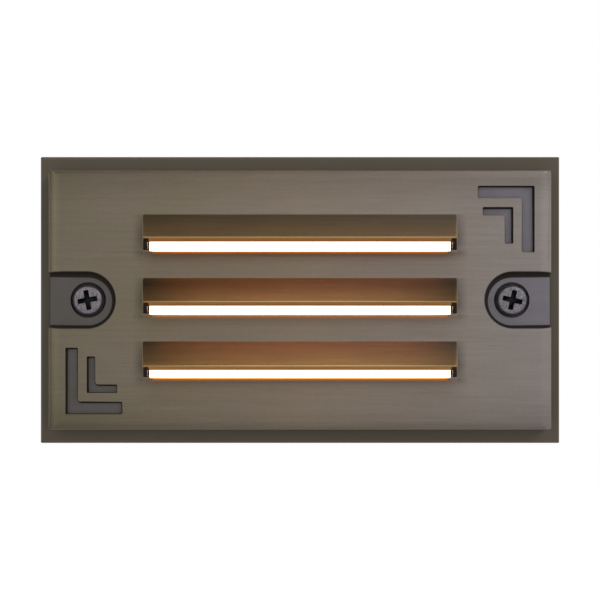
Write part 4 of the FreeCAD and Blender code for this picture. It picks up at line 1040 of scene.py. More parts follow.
@dataclass(frozen=True)
class PanScrew:
    """A pan head machine screw, made with its seat at the origin and its point along Y.

    reach and width are the cross's half length and the width of its arms, and sink its depth.
    """

    head_radius: float
    head_height: float
    core: float
    crest: float
    pitch: float
    length: float
    reach: float
    width: float
    sink: float
    tip: float
    thread_sides: int

    def _recess(self, work: Workpiece) -> list[Edge]:
        """Sink the cross in the head's top.

        Args:
            work: the mesh.

        Returns:
            The edges of the cross's mouth.
        """
        top, half = -self.head_height, self.width / 2
        before = set(work.mesh.faces)
        grid = bmesh.ops.create_grid(work.mesh, x_segments=3, y_segments=3, size=1.0)["verts"]
        for vert in grid:
            x, z = [math.copysign(self.reach if abs(c) > 0.5 else half, c) for c in vert.co.xy]
            vert.co = Vector((x, top, z))
        cells = unique(f for v in grid for f in v.link_faces)
        middles = {f: f.calc_center_median() for f in cells}
        corners = [f for f, middle in middles.items() if min(abs(middle.x), abs(middle.z)) > half]
        bmesh.ops.delete(work.mesh, geom=corners, context="FACES")
        kept = [f for f in cells if f.is_valid]
        cross = bmesh.ops.dissolve_faces(work.mesh, faces=kept)["region"][0]
        bmesh.ops.bevel(
            work.mesh, geom=list(cross.verts), offset=self.width * CROSS_ROUNDING,
            offset_type="OFFSET", segments=2, profile=0.5, affect="VERTICES", material=-1,
        )
        cross = next(f for f in work.mesh.faces if f not in before)
        for inward, share in CROSS_STEPS:
            walls = bmesh.ops.inset_region(
                work.mesh, faces=[cross], thickness=inward * self.width, depth=-share * self.sink,
                use_even_offset=True, use_boundary=True,
            )["faces"]
            for face in [*walls, cross]:
                face.material_index = 1
        made = [f for f in work.mesh.faces if f not in before]
        return unique(e for f in made for e in f.edges if e.is_boundary)

    def add(
        self, work: Workpiece, centre: Place, seat: float, turn: float, forward: bool
    ) -> None:
        """Make one screw.

        Args:
            work: the mesh.
            centre: the X and Z of its axis.
            seat: the depth of the underside of its head.
            turn: how far its recess is turned, in degrees.
            forward: whether it points out of the wall.
        """
        before = set(work.mesh.verts)
        known = set(work.mesh.faces)
        rim = self._recess(work)
        sunk = set(work.mesh.faces) - known
        high, wide = self.head_height, self.head_radius
        flat = max(self.reach * CROWN_BORDER, wide * CROWN_FLAT)
        rings = [(flat, -high)]
        for share in CROWN_STEPS:
            angle = share * TURN / 4
            drop = high * CROWN_DROP * (1 - math.cos(angle))
            rings.append((flat + (wide - flat) * math.sin(angle), drop - high))
        rings += [(wide, -HEAD_FOOT[0] * high), (wide - HEAD_FOOT[1] * high, 0.0), (self.core, 0.0)]
        under = work.grow(rim, rings, even=True)
        first, last = THREAD_START * self.pitch, self.length - self.tip
        start, end = work.thread(self.core, self.crest, self.pitch, first, last, self.thread_sides)
        bmesh.ops.bridge_loops(work.mesh, edges=under + start)
        point = work.grow(end, [(self.core - self.tip * TIP_TAPER, self.length)])
        bmesh.ops.contextual_create(work.mesh, geom=point)
        for face in set(work.mesh.faces) - known:
            face.material_index = int(face in sunk)
        spun = Matrix.Rotation(math.radians(turn), 4, "Y")
        faced = Matrix.Rotation(math.pi, 4, "Z") if forward else Matrix.Identity(4)
        shift = Matrix.Translation((centre[0], seat, centre[1]))
        made = [v for v in work.mesh.verts if v not in before]
        bmesh.ops.transform(work.mesh, matrix=shift @ faced @ spun, verts=made)

    def fit(
        self,
        node: str,
        name: str,
        body: Body,
        finishes: Sequence[Finish],
        places: Sequence[Place],
        seat: float,
        turn: float,
        step: float = 0.0,
        forward: bool = False,
    ) -> None:
        """Show a CAD node as a set of these screws.

        Args:
            node: the node.
            name: the piece's name.
            body: the body that it moves with.
            finishes: the finishes of the screws and of their recesses.
            places: the X and Z of each screw's axis.
            seat: the depth of the underside of their heads.
            turn: how far the first one's recess is turned, in degrees.
            step: how much further each next one is turned.
            forward: whether they point out of the wall.
        """
        work = Workpiece()
        for number, place in enumerate(places):
            self.add(work, place, seat, turn + step * number, forward)
        work.done(name, body, finishes, node)


FACE_SCREW = PanScrew(4.1, 2.3, 1.6, 1.95, 0.7, 12.0, 2.75, 1.4, 1.7, 0.5, 28)
EARTH_SCREW = PanScrew(4.1, 2.3, 1.6, 1.95, 0.7, 5.5, 2.6, 1.0, 1.5, 0.4, 20)
TRAY_SCREW = PanScrew(2.75, 2.0, 1.18, 1.45, 0.5, 9.0, 1.65, 0.7, 1.2, 0.35, 14)
DRIVER_SCREW = PanScrew(2.75, 2.0, 1.18, 1.45, 0.5, 7.0, 1.65, 0.7, 1.2, 0.35, 14)
SHEET_SCREW = PanScrew(2.25, 1.7, 0.98, 1.2, 0.45, 3.8, 1.35, 0.55, 1.0, 0.3, 14)


# ------------------------------------------------------------------ the louvred face


@dataclass
class LouvredFace:
    """The cast faceplate with its louvre hoods, end notches and corner brackets."""

    half_length: float = 69.15
    half_height: float = 35.6
    front: float = -8.8
    back: float = -3.8
    pocket_floor: float = -6.3
    slot_half: float = 42.3
    notch_start: float = 50.4
    notch_half: float = 7.9
    notch_floor: float = -6.8
    screw_reach: float = 58.5
    screw_clear: float = 5.7
    hood_tops: tuple[float, ...] = (23.5, 6.05, -11.4)
    slot_drop: float = 10.05
    sill_round: float = 0.7
    lip_inside: float = -9.0
    cheek_start: float = 41.1
    side_roll: Ring = (3.6, 0.75)
    top_roll: Ring = (2.5, 0.35)
    roll_steps: int = 9
    bracket_floor: float = -7.6
    bracket_across: Ring = (48.0, 64.6)
    bracket_up: Ring = (12.0, 31.6)
    # The painted shadow strips at the foot of the recesses' walls: their base width, how much wider they
    # grow below the upper walls, and beside the brackets' outer walls.
    notch_shade: Ring = (0.46, 0.42)
    bracket_shade: Ring = (0.3, 0.22)
    outward_shade: float = 0.6
    open_end: float = 0.03
    corner_merge: float = 0.18
    surface: float = 0.01

    def in_louvre(self, face: Face) -> bool:
        """Whether a face belongs to the inside of a louvre or its slot."""
        spot, way = face.calc_center_median(), face.normal
        if abs(spot.x) > self.slot_half or spot.y > self.pocket_floor + MERGE:
            return False
        for top in self.hood_tops:
            if not top - self.slot_drop - self.sill_round - 0.1 < spot.z < top + 0.5:
                continue
            beyond_face = spot.y < self.front - MERGE
            hood_front = beyond_face and way.y < -0.3 and way.z > -0.2
            if not hood_front and (beyond_face or spot.y > self.front + self.surface):
                return True
        return False

    def on_lip(self, face: Face) -> bool:
        """Whether a face is the underside of a hood, which looks down and out."""
        spot, way = face.calc_center_median(), face.normal
        return spot.y < self.lip_inside and way.z < -0.6

    def on_cheek(self, face: Face) -> bool:
        """Whether a face is the inside or the foot of a hood's end."""
        spot, way = face.calc_center_median(), face.normal
        inward = way.x * spot.x < 0 and abs(way.x) > 0.2
        beyond = abs(spot.x) > self.cheek_start and spot.y < self.lip_inside and way.z < -0.15
        return abs(way.x) > 0.5 or inward or beyond

    def _part_cheeks(self, work: Workpiece) -> None:
        """Cut the hoods' undersides where their ends begin."""
        for sign in (-1, 1):
            faces = [f for f in work.mesh.faces if self.in_louvre(f) and self.on_lip(f)]
            work.slice(faces, 0, sign * self.cheek_start)

    def in_bracket(self, face: Face) -> bool:
        """Whether a face lies in one of the corner brackets."""
        spot = face.calc_center_median()
        side = math.copysign(1.0, spot.x)
        (near, far), (low, high) = self.bracket_across, self.bracket_up
        inside = near < abs(spot.x) < far and low < side * spot.z < high
        return inside and self.front + self.surface < spot.y < self.bracket_floor + self.surface

    def in_notch(self, face: Face) -> bool:
        """Whether a face lies in an end notch or a screw's stepped hole."""
        spot = face.calc_center_median()
        inside = abs(spot.z) < self.notch_half and abs(spot.x) > self.notch_start
        return inside and self.front + self.surface < spot.y < self.back - self.surface

    def in_recess(self, face: Face) -> bool:
        """Whether a face lies in any recess of the front."""
        return self.in_bracket(face) or self.in_notch(face)

    def is_wall(self, face: Face) -> bool:
        """Whether a face stands steeply between the front and a recess's floor."""
        return face.normal.y > -0.75

    def behind(self, face: Face) -> bool:
        """Whether a face belongs to the back or the lens pocket."""
        inside = abs(face.calc_center_median().x) < self.half_length - 0.2
        hidden = face.normal.y > 0.5 or self.pocket_floor < face.calc_center_median().y < self.back
        return inside and hidden

    def _fall(self, beyond: float, roll: Ring) -> float:
        """How far the rolled border has fallen back at a distance past its start."""
        width, depth = roll
        radius = (width ** 2 + depth ** 2) / (2 * depth)
        return radius - math.sqrt(radius ** 2 - min(max(beyond, 0.0), width) ** 2)

    def _even_rolls(self, work: Workpiece) -> None:
        """Cut the rolled border into even strips along its length and set them on its true curve."""
        side_start = self.half_length - self.side_roll[0]
        top_start = self.half_height - self.top_roll[0]
        limit = self.front + self.side_roll[1] + self.surface
        near = MERGE * 20

        def skin() -> list[Face]:
            """The faces of the front as far as the border's outer edge."""
            return [
                f for f in work.mesh.faces
                if f.normal.y < -0.5 and all(v.co.y < limit for v in f.verts)
            ]

        lines: dict[int, list[float]] = {}
        for axis, start, (width, _) in ((0, side_start, self.side_roll), (2, top_start, self.top_roll)):
            lines[axis] = [start + width * step / self.roll_steps for step in range(self.roll_steps)]
            for line in lines[axis]:
                for sign in (-1, 1):
                    work.slice(skin(), axis, sign * line)

        def on_line(edge: Edge) -> bool:
            """Whether an edge runs along one of the cuts."""
            ends = [v.co for v in edge.verts]
            return any(
                all(abs(abs(end[axis]) - line) < LEVEL for end in ends)
                for axis in lines for line in lines[axis]
            )

        faces = set(skin())
        loose = [
            e for e in work.mesh.edges
            if all(f in faces for f in e.link_faces) and len(e.link_faces) == 2 and not on_line(e)
            and (max(abs(v.co.x) for v in e.verts) > side_start + near
                 or max(abs(v.co.z) for v in e.verts) > top_start + near)
        ]
        bmesh.ops.dissolve_edges(work.mesh, edges=loose, use_verts=True)
        for vert in {v for f in skin() for v in f.verts}:
            across, up = abs(vert.co.x) - side_start, abs(vert.co.z) - top_start
            if max(across, up) > -near:
                falls = self._fall(across, self.side_roll), self._fall(up, self.top_roll)
                vert.co.y = self.front + max(falls)

    def _cut_shade_strips(self, work: Workpiece) -> set[Face]:
        """Cut off the strips of the recesses' floors at the foot of the walls, where a shadow is painted.

        Args:
            work: the mesh.

        Returns:
            The strips, which are widest below the upper walls and thin above the lower ones, as the
            painted shadow of light from above.
        """
        strips: set[Face] = set()
        levels = ((self.notch_floor, self.notch_shade), (self.bracket_floor, self.bracket_shade))
        for level, (base, more) in levels:
            middles = {f: f.calc_center_median() for f in work.mesh.faces if f.normal.y < -0.9}
            floor = [
                f for f, middle in middles.items()
                if abs(middle.y - level) < LEVEL and abs(middle.x) > self.bracket_across[0]
            ]
            made = bmesh.ops.inset_region(
                work.mesh, faces=floor, thickness=base, use_even_offset=True,
                use_relative_offset=False,
            )["faces"]
            strips.update(made)
            inner = unique(v for f in floor for v in f.verts)
            known = set(inner)
            for vert in {v for f in made for v in f.verts} & known:
                near = (e.other_vert(vert) for e in vert.link_edges)
                foot = next((v for v in near if v not in known), None)
                if foot is None:
                    continue
                way = vert.co - foot.co
                side = math.copysign(1.0, vert.co.x)
                # The painted shadow is widened below the upper walls and, in the brackets, beside the
                # outer walls.
                outer = max(-way.x * side, 0.0) if level == self.bracket_floor else 0.0
                lean = (outer * self.outward_shade - way.z) / max(way.length, MERGE)
                vert.co = foot.co + way * (1 + max(-1.0, min(1.0, lean)) * more / base)
                if abs(foot.co.x) > self.half_length - 1.0:
                    vert.co.x = foot.co.x - side * self.open_end
            if level == self.bracket_floor:
                bmesh.ops.remove_doubles(work.mesh, verts=inner, dist=self.corner_merge)
        return {f for f in strips if f.is_valid and not self._by_screw(f)}

    def _by_screw(self, face: Face) -> bool:
        """Whether a face lies next to a screw's hole."""
        spot = face.calc_center_median()
        return math.hypot(abs(spot.x) - self.screw_reach, spot.z) < self.screw_clear

    def build(self) -> None:
        """Make the faceplate in its six finishes, which are painted by their place in the list."""
        work = Workpiece("faceplate")
        self._even_rolls(work)
        work.soften(0.12, 1, 50.0, lambda e: max(v.co.y for v in e.verts) < self.pocket_floor + 0.5)
        self._part_cheeks(work)
        strips = self._cut_shade_strips(work)
        finishes = (BRUSHED, MACHINED, RECESS, CAST_BACK, TONING_AND_SHADE, LIP_PAINTED_GLOW)
        machined, recess, cast, toning_and_shade, lip = range(1, len(finishes))
        work.paint(cast, self.behind)
        work.paint(machined, self.in_louvre)
        # The hoods' undersides take the painted golden glow.
        work.paint(lip, lambda f: self.in_louvre(f) and self.on_lip(f))
        # The hoods' ends inside, the recesses' walls and the strips at their foot take the near-black
        # toning, which also stands in for their painted shade and shadow.
        work.paint(toning_and_shade, lambda f: self.in_louvre(f) and self.on_cheek(f))
        work.paint(recess, self.in_recess)
        work.paint(toning_and_shade, lambda f: f in strips or self.in_recess(f) and self.is_wall(f))
        work.done("louvred_faceplate", Body.FACE, finishes, "faceplate")


@dataclass
class LensPack:
    """The opal lens with its gasket, its retainer and the retainer's screws."""

    screw_places: tuple[Place, ...] = ((50.1, 19.5), (-50.1, 19.5), (-50.1, -19.5), (50.1, -19.5))
    seat: float = -2.8
    lit_half: float = 41.7

    def build(self) -> None:
        """Make and dress the lens's pieces."""
        lens = Workpiece("lens")
        lens.soften(0.2)
        for sign in (-1, 1):
            lens.slice(lens.mesh.faces, 0, sign * self.lit_half)
        lens.paint(1, lambda f: abs(f.calc_center_median().x) > self.lit_half)
        lens.done("opal_lens", Body.FACE, (LIT_OPAL, SHADED_OPAL), "lens")
        dress("lens_gasket", SILICONE)
        rounded("lens_retainer", "pressed_lens_retainer", Body.FACE, STAINLESS, 0.12)
        SHEET_SCREW.fit(
            "retainer_screws", "lens_retainer_screws", Body.FACE, (ZINC, ZINC_RECESS),
            self.screw_places, self.seat, 17.0, 31.0, forward=True,
        )


@dataclass
class FaceScrews:
    """The two screws that hold the face, each with its seal washer."""

    reach: float = 58.5
    seat: float = -5.9
    washer_back: float = -5.31
    washer_radius: float = 4.5
    washer_bore: float = 2.0
    washer_edge: float = 0.15
    sides: int = 48

    def _fit(self, side: str, sign: int, screw: Body, washer: Body, turn: float) -> None:
        """Make one screw and its washer.

        Args:
            side: the side of the light, as its nodes name it.
            sign: the side's sign along X.
            screw: the body of the screw.
            washer: the body of the washer.
            turn: how far the screw's recess is turned, in degrees.
        """
        places = [(sign * self.reach, 0.0)]
        FACE_SCREW.fit(
            f"{side}_face_screw", f"{side}_pan_head_screw", screw, (TONED_STEEL, DARK_RECESS),
            places, self.seat, turn,
        )
        edge, front, back = self.washer_edge, self.seat, self.washer_back
        bore, rim = self.washer_bore, self.washer_radius
        rings = (
            (bore, back - edge), (bore, front + edge), (bore + edge, front), (rim - edge, front),
            (rim, front + edge), (rim, back - edge), (rim - edge, back), (bore + edge, back),
        )
        turned(
            f"{side}_seal_washer", f"{side}_rubber_washer", washer, SILICONE, rings, self.sides, places
        )

    def build(self) -> None:
        """Make both screws and both washers."""
        self._fit("left", -1, Body.LEFT_SCREW, Body.LEFT_WASHER, -10.0)
        self._fit("right", 1, Body.RIGHT_SCREW, Body.RIGHT_WASHER, 13.0)


# ------------------------------------------------------------------ the box


@dataclass
class WallBox:
    """The flanged box that is let into the wall, with its inserts and gasket."""

    insert_reach: float = 58.5
    insert_front: float = -3.0
    insert_length: float = 8.0
    insert_radius: float = 3.0
    insert_bore: float = 2.0
    chamfer: float = 0.3
    grooves: tuple[float, ...] = (0.3, 0.55, 0.8)
    groove_depth: float = 0.25
    shortest_edge: float = 1.2

    def build(self) -> None:
        """Make the box, the threaded inserts and the gasket."""
        box = Workpiece("back_box")
        box.soften(0.3, 2, where=lambda e: e.calc_length() > self.shortest_edge)
        box.done("powder_coated_box", Body.BOX, (POWDER_COAT,), "back_box")
        rounded("box_gasket", "face_gasket", Body.BOX, SILICONE, 0.2)
        radius, bore, front, edge = self.insert_radius, self.insert_bore, self.insert_front, self.chamfer
        back = front + self.insert_length
        foot = radius - self.groove_depth
        rings = [(bore, back - edge), (bore, front + edge), (bore + edge, front)]
        rings += [(radius - 0.1, front), (radius, front + 0.1)]
        for share in self.grooves:
            groove = front + share * self.insert_length
            rings += [(radius, groove), (foot, groove + 0.15)]
            rings += [(foot, groove + 0.45), (radius, groove + 0.6)]
        rings += [(radius, back - edge), (radius - edge, back), (bore + edge, back)]
        places = [(side * self.insert_reach, 0.0) for side in (-1, 1)]
        turned("screw_inserts", "threaded_brass_inserts", Body.BOX, BRASS, rings, 48, places)


# ------------------------------------------------------------------ the light engine


@dataclass
class LightEngine:
    """The LED board with what stands on it, under its reflector and on its heat tray."""

    board_front: float = 12.0
    columns: tuple[float, ...] = (-27.0, -11.0, 11.0, 27.0)
    rows: tuple[float, ...] = (10.0, 0.0, -10.0)
    led_size: Point = (3.5, 2.8, 0.7)
    cup_lean: float = 0.15
    well_inset: float = 0.38
    well_slope: Ring = (0.14, -0.34)
    fill_inset: float = 0.6
    fill_depths: Ring = (0.06, 0.33)
    joint_share: float = 0.36
    joint_lap: float = 0.1
    joint_reach: float = 0.45
    joint_height: float = 0.32
    joint_fall: float = 0.22
    joint_edge: float = 0.08
    track_half: float = 0.6
    track_skin: Ring = (-0.05, 0.02)
    track_edge: float = 0.04
    track_gap: float = 0.35
    rail_reach: float = 4.2
    rail_half: float = 0.7
    rail_ends: Ring = (3.2, 12.0)
    contact_lanes: Ring = (3.9, 6.1)
    # A contact's blade, its beak and its solder tail: their low and high X and Y, half of their
    # width and their rounding.
    contact_blocks: tuple[tuple[Place, Place, float, float], ...] = (
        ((3.9, 9.3), (7.2, 9.6), 0.32, 0.08),
        ((4.4, 8.5), (6.6, 9.35), 0.3, 0.08),
        ((7.9, 11.75), (9.3, 12.0), 0.35, 0.06),
    )
    beak_end: float = 9.0
    beak_middle: float = 5.5
    beak_taper: float = 0.55
    screw_reach: float = 32.15
    tray_screw_places: tuple[Place, ...] = ((-43.5, 19.6), (43.5, -19.6))
    tray_front: float = 13.9

    def _leds(self) -> None:
        """Make the LEDs' white cups, the phosphor in them and their solder joints."""
        cups, glows, joints = Workpiece(), Workpiece(), Workpiece()
        wide, high, thick = self.led_size
        top = self.board_front - thick
        for x in self.columns:
            for z in self.rows:
                self._cup(cups, x, z, top)
                self._phosphor(glows, x, z, top)
                for side in (-1, 1):
                    start, end = wide / 2 - self.joint_lap, wide / 2 + self.joint_reach
                    inner, outer = sorted((x + side * start, x + side * end))
                    half = high * self.joint_share
                    made = joints.block(
                        (inner, self.board_front - self.joint_height, z - half),
                        (outer, self.board_front + 0.01, z + half), self.joint_edge,
                    )
                    for vert in made:
                        raised = vert.co.y < self.board_front - self.joint_height / 2
                        if raised and side * (vert.co.x - x) > wide / 2 + self.joint_lap:
                            vert.co.y += self.joint_fall
        cups.done("led_cups", Body.BOX, (LED_CUP,), "led_packages")
        glows.done("led_phosphor_fills", Body.BOX, (PHOSPHOR,))
        joints.done("led_solder_joints", Body.BOX, (SOLDER,))

    def _cup(self, work: Workpiece, x: float, z: float, top: float) -> None:
        """Make one LED's resin cup with its sloping well.

        Args:
            work: the mesh.
            x: the LED's centre along X.
            z: the LED's centre along Z.
            top: the depth of its front.
        """
        half_x, half_z = self.led_size[0] / 2, self.led_size[1] / 2
        before = set(work.mesh.faces)
        made = work.block((x - half_x, top, z - half_z), (x + half_x, self.board_front, z + half_z))
        for vert in made:
            if vert.co.y < top + MERGE:
                vert.co.x -= math.copysign(self.cup_lean, vert.co.x - x)
                vert.co.z -= math.copysign(self.cup_lean, vert.co.z - z)
        faces = [f for f in work.mesh.faces if f not in before]
        front = min(faces, key=lambda f: f.calc_center_median().y)
        bmesh.ops.recalc_face_normals(work.mesh, faces=faces)
        for inward, depth in ((self.well_inset, 0.0), self.well_slope):
            bmesh.ops.inset_region(
                work.mesh, faces=[front], thickness=inward, depth=depth, use_even_offset=True
            )

    def _phosphor(self, work: Workpiece, x: float, z: float, top: float) -> None:
        """Fill one LED's well, just below its rim and a little domed.

        Args:
            work: the mesh.
            x: the LED's centre along X.
            z: the LED's centre along Z.
            top: the depth of its front.
        """
        half_x, half_z = self.led_size[0] / 2 - self.fill_inset, self.led_size[1] / 2 - self.fill_inset
        near, far = [top + depth for depth in self.fill_depths]
        work.block((x - half_x, near, z - half_z), (x + half_x, far, z + half_z), 0.09, 3)

    def _tracks(self) -> None:
        """Make the copper that stands up under the board's white mask."""
        tracks = Workpiece()
        half, reach = self.track_half, self.columns[-1]
        skin, crest = [self.board_front + depth for depth in self.track_skin]
        gap = self.led_size[0] / 2 + self.track_gap

        def lay(xs: Sequence[float], zs: Sequence[float]) -> None:
            """Lay one straight track between two X and two Z, given in any order."""
            low, high = sorted(xs)
            near, far = sorted(zs)
            tracks.block((low, skin, near), (high, crest, far), self.track_edge)

        for z in self.rows:
            for left, right in zip(self.columns, self.columns[1:]):
                if not left < 0 < right or z:
                    lay((left + gap, right - gap), (z - half, z + half))
        for side in (-1, 1):
            rail = side * (reach + self.rail_reach)
            for end in (1, -1):
                ends = [end * z for z in self.rail_ends]
                lay((rail - self.rail_half, rail + self.rail_half), ends)
            for z in (self.rows[0], self.rows[-1]):
                link = side * (reach + gap), side * (reach + self.rail_reach - half)
                lay(link, (z - half, z + half))
        tracks.done("board_tracks", Body.BOX, (SOLDER_MASK,))

    def _contacts(self) -> None:
        """Make the connector's contacts, seen through its windows, and its solder tails."""
        contacts = Workpiece()
        for lane in self.contact_lanes:
            for (left, front), (right, back), half, edge in self.contact_blocks:
                made = contacts.block((left, front, lane - half), (right, back, lane + half), edge)
                for vert in made:
                    if vert.co.y < self.beak_end:
                        vert.co.x += (self.beak_middle - vert.co.x) * self.beak_taper
        contacts.done("connector_contacts", Body.BOX, (SOLDER,))

    def build(self) -> None:
        """Make and dress everything on the heat tray."""
        rounded("reflector", "white_reflector_trough", Body.BOX, REFLECTOR_WHITE, 0.2, 2, 35.0)
        rounded("led_board", "led_circuit_board", Body.BOX, SOLDER_MASK, 0.1)
        self._leds()
        self._tracks()
        rounded("board_connector", "lead_connector", Body.BOX, IVORY_NYLON, 0.15)
        self._contacts()
        places = [(side * self.screw_reach, 0.0) for side in (-1, 1)]
        SHEET_SCREW.fit(
            "board_screws", "board_clamp_screws", Body.BOX, (ZINC, ZINC_RECESS), places,
            self.board_front, 22.0, 40.0,
        )
        dress("thermal_pad", GAP_FILLER)
        rounded("heat_tray", "bent_heat_tray", Body.BOX, MILL_ALUMINIUM, 0.15)
        TRAY_SCREW.fit(
            "tray_screws", "tray_fixing_screws", Body.BOX, (ZINC, ZINC_RECESS),
            self.tray_screw_places, self.tray_front, 8.0, 50.0,
        )


# ------------------------------------------------------------------ power


@dataclass
class Driver:
    """The potted driver on the box's floor."""

    screw_places: tuple[Place, ...] = ((-45.5, 0.0), (21.5, 0.0))
    seat: float = 32.5

    def build(self) -> None:
        """Make the case, the potting and the two screws."""
        rounded("driver_case", "moulded_driver_case", Body.BOX, BLACK_ABS, 0.25, 2)
        Workpiece("driver_potting").done("poured_potting", Body.BOX, (POTTING,), "driver_potting")
        DRIVER_SCREW.fit(
            "driver_screws", "driver_fixing_screws", Body.BOX, (ZINC, ZINC_RECESS),
            self.screw_places, self.seat, 0.0, 35.0,
        )


@dataclass
class Lead:
    """One insulated lead, along a smooth line through its route's points."""

    node: str
    finish: Finish
    points: tuple[Point, ...]
    radius: float = 0.8

    def build(self) -> None:
        """Make the lead."""
        curve = bpy.data.curves.new(self.node, "CURVE")
        curve.dimensions = "3D"
        curve.bevel_depth = self.radius * MM
        curve.bevel_resolution = 4
        curve.use_fill_caps = True
        line = curve.splines.new("NURBS")
        line.points.add(len(self.points) - 1)
        for point, spot in zip(line.points, self.points):
            point.co = [c * MM for c in spot] + [1.0]
        line.order_u = 3
        line.use_endpoint_u = True
        line.resolution_u = 10
        route = bpy.data.objects.new(self.node, curve)
        bpy.context.scene.collection.objects.link(route)
        shaped = route.evaluated_get(bpy.context.evaluated_depsgraph_get())
        data = bpy.data.meshes.new_from_object(shaped)
        bpy.data.objects.remove(route)
        work = Workpiece()
        work.mesh.from_mesh(data)
        bmesh.ops.scale(work.mesh, vec=(1 / MM,) * 3, verts=work.mesh.verts)
        bmesh.ops.remove_doubles(work.mesh, verts=work.mesh.verts, dist=MERGE)
        bpy.data.meshes.remove(data)
        work.done(f"{self.node}_wire", Body.BOX, (self.finish,), self.node)


@dataclass
class Terminals:
    """The terminal block with its screws, and the earth screw with its cup washer."""

    earth: Place = (6.0, -22.0)
    earth_seat: float = 33.5

    def build(self) -> None:
        """Make the block, its screws and the earth terminal."""
        rounded("terminal_block", "terminal_strip", Body.BOX, GREY_NYLON, 0.25, 2)
        rounded("terminal_screws", "terminal_clamp_screws", Body.BOX, BRASS, 0.1, 1, 60.0)
        EARTH_SCREW.fit(
            "earth_screw", "earth_clamp_screw", Body.BOX, (BRASS, DARK_RECESS), [self.earth],
            self.earth_seat, 25.0,
        )
        rounded("earth_washer", "earth_cup_washer", Body.BOX, BRASS, 0.15, 2)


# ------------------------------------------------------------------ cable gland


@dataclass
class CableGland:
    """The M16 gland through the box's rear wall."""

    centre: Place = (40.0, 0.0)
    shank_start: float = 35.1
    hex_front: float = 43.2
    hex_back: float = 47.7
    neck_end: float = 56.7
    thread_radius: float = 8.0
    neck_radius: float = 7.2
    bore: float = 4.5
    seat_radius: float = 5.75
    seat_front: float = 48.7
    hex_flats: float = 20.0
    nut_flats: float = 19.0
    nut_front: float = 48.0
    nut_shoulder: float = 55.0
    nut_back: float = 60.0
    mouth: float = 4.6
    nut_bore: float = 7.3
    lock_flats: float = 22.0
    lock_front: float = 35.5
    lock_back: float = 39.5
    dome_steps: int = 7
    sides: int = 96

    def _body(self) -> Sequence[Ring]:
        """Draw the body: a threaded shank, a hexagon with turned corners and a threaded neck."""
        corner = self.hex_flats / math.sqrt(3)
        rounding = corner - 0.9
        return (
            (self.bore, self.shank_start), (self.thread_radius - 0.7, self.shank_start),
            (self.thread_radius, self.shank_start + 0.5), (self.thread_radius, self.hex_front),
            (rounding, self.hex_front), (corner, self.hex_front + 0.55),
            (corner, self.hex_back - 0.55), (rounding, self.hex_back),
            (self.neck_radius, self.hex_back), (self.neck_radius, self.neck_end - 0.4),
            (self.neck_radius - 0.4, self.neck_end), (self.seat_radius, self.neck_end),
            (self.seat_radius, self.seat_front), (self.bore, self.seat_front),
        )

    def _nut(self) -> Sequence[Ring]:
        """Draw the nut: a hexagon that rolls over into a dome round the cable's opening."""
        corner = self.nut_flats / math.sqrt(3)
        rings = [(self.nut_bore, self.nut_front), (corner - 0.7, self.nut_front)]
        rings += [(corner, self.nut_front + 0.4), (corner, self.nut_shoulder - 0.6)]
        small = self.mouth + 1.2
        for step in range(1, self.dome_steps + 1):
            share = step / self.dome_steps
            radius = small + (self.nut_flats / 2 + 0.4 - small) * math.sqrt(1 - share ** 2) ** 1.3
            rings.append((radius, self.nut_shoulder + (self.nut_back - self.nut_shoulder) * share ** 1.2))
        rings += [(self.mouth + 0.2, self.nut_back), (self.mouth, self.nut_back - 0.2)]
        return rings + [(self.mouth, self.neck_end + 0.1), (self.nut_bore, self.neck_end + 0.1)]

    def _lock_nut(self) -> Sequence[Ring]:
        """Draw the flat nut inside the box."""
        corner = self.lock_flats / math.sqrt(3)
        bore = self.thread_radius + 0.05
        return (
            (bore, self.lock_front + 0.3), (bore + 0.3, self.lock_front),
            (corner - 1.1, self.lock_front), (corner, self.lock_front + 0.6),
            (corner, self.lock_back - 0.6), (corner - 1.1, self.lock_back), (bore, self.lock_back),
        )

    def build(self) -> None:
        """Make the gland's five pieces."""
        for node, name, rings, flats in (
            ("gland_body", "gland_threaded_body", self._body(), self.hex_flats),
            ("gland_nut", "gland_dome_nut", self._nut(), self.nut_flats),
            ("gland_lock_nut", "gland_inside_nut", self._lock_nut(), self.lock_flats),
        ):
            turned(node, name, Body.BOX, BLACK_NYLON, rings, self.sides, [self.centre], flats)
        rounded("gland_bush", "gland_rubber_bush", Body.BOX, SILICONE, 0.25, 2, 60.0)
        rounded("gland_washer", "gland_rubber_washer", Body.BOX, SILICONE, 0.2, 2, 60.0)


# ------------------------------------------------------------------ the studio


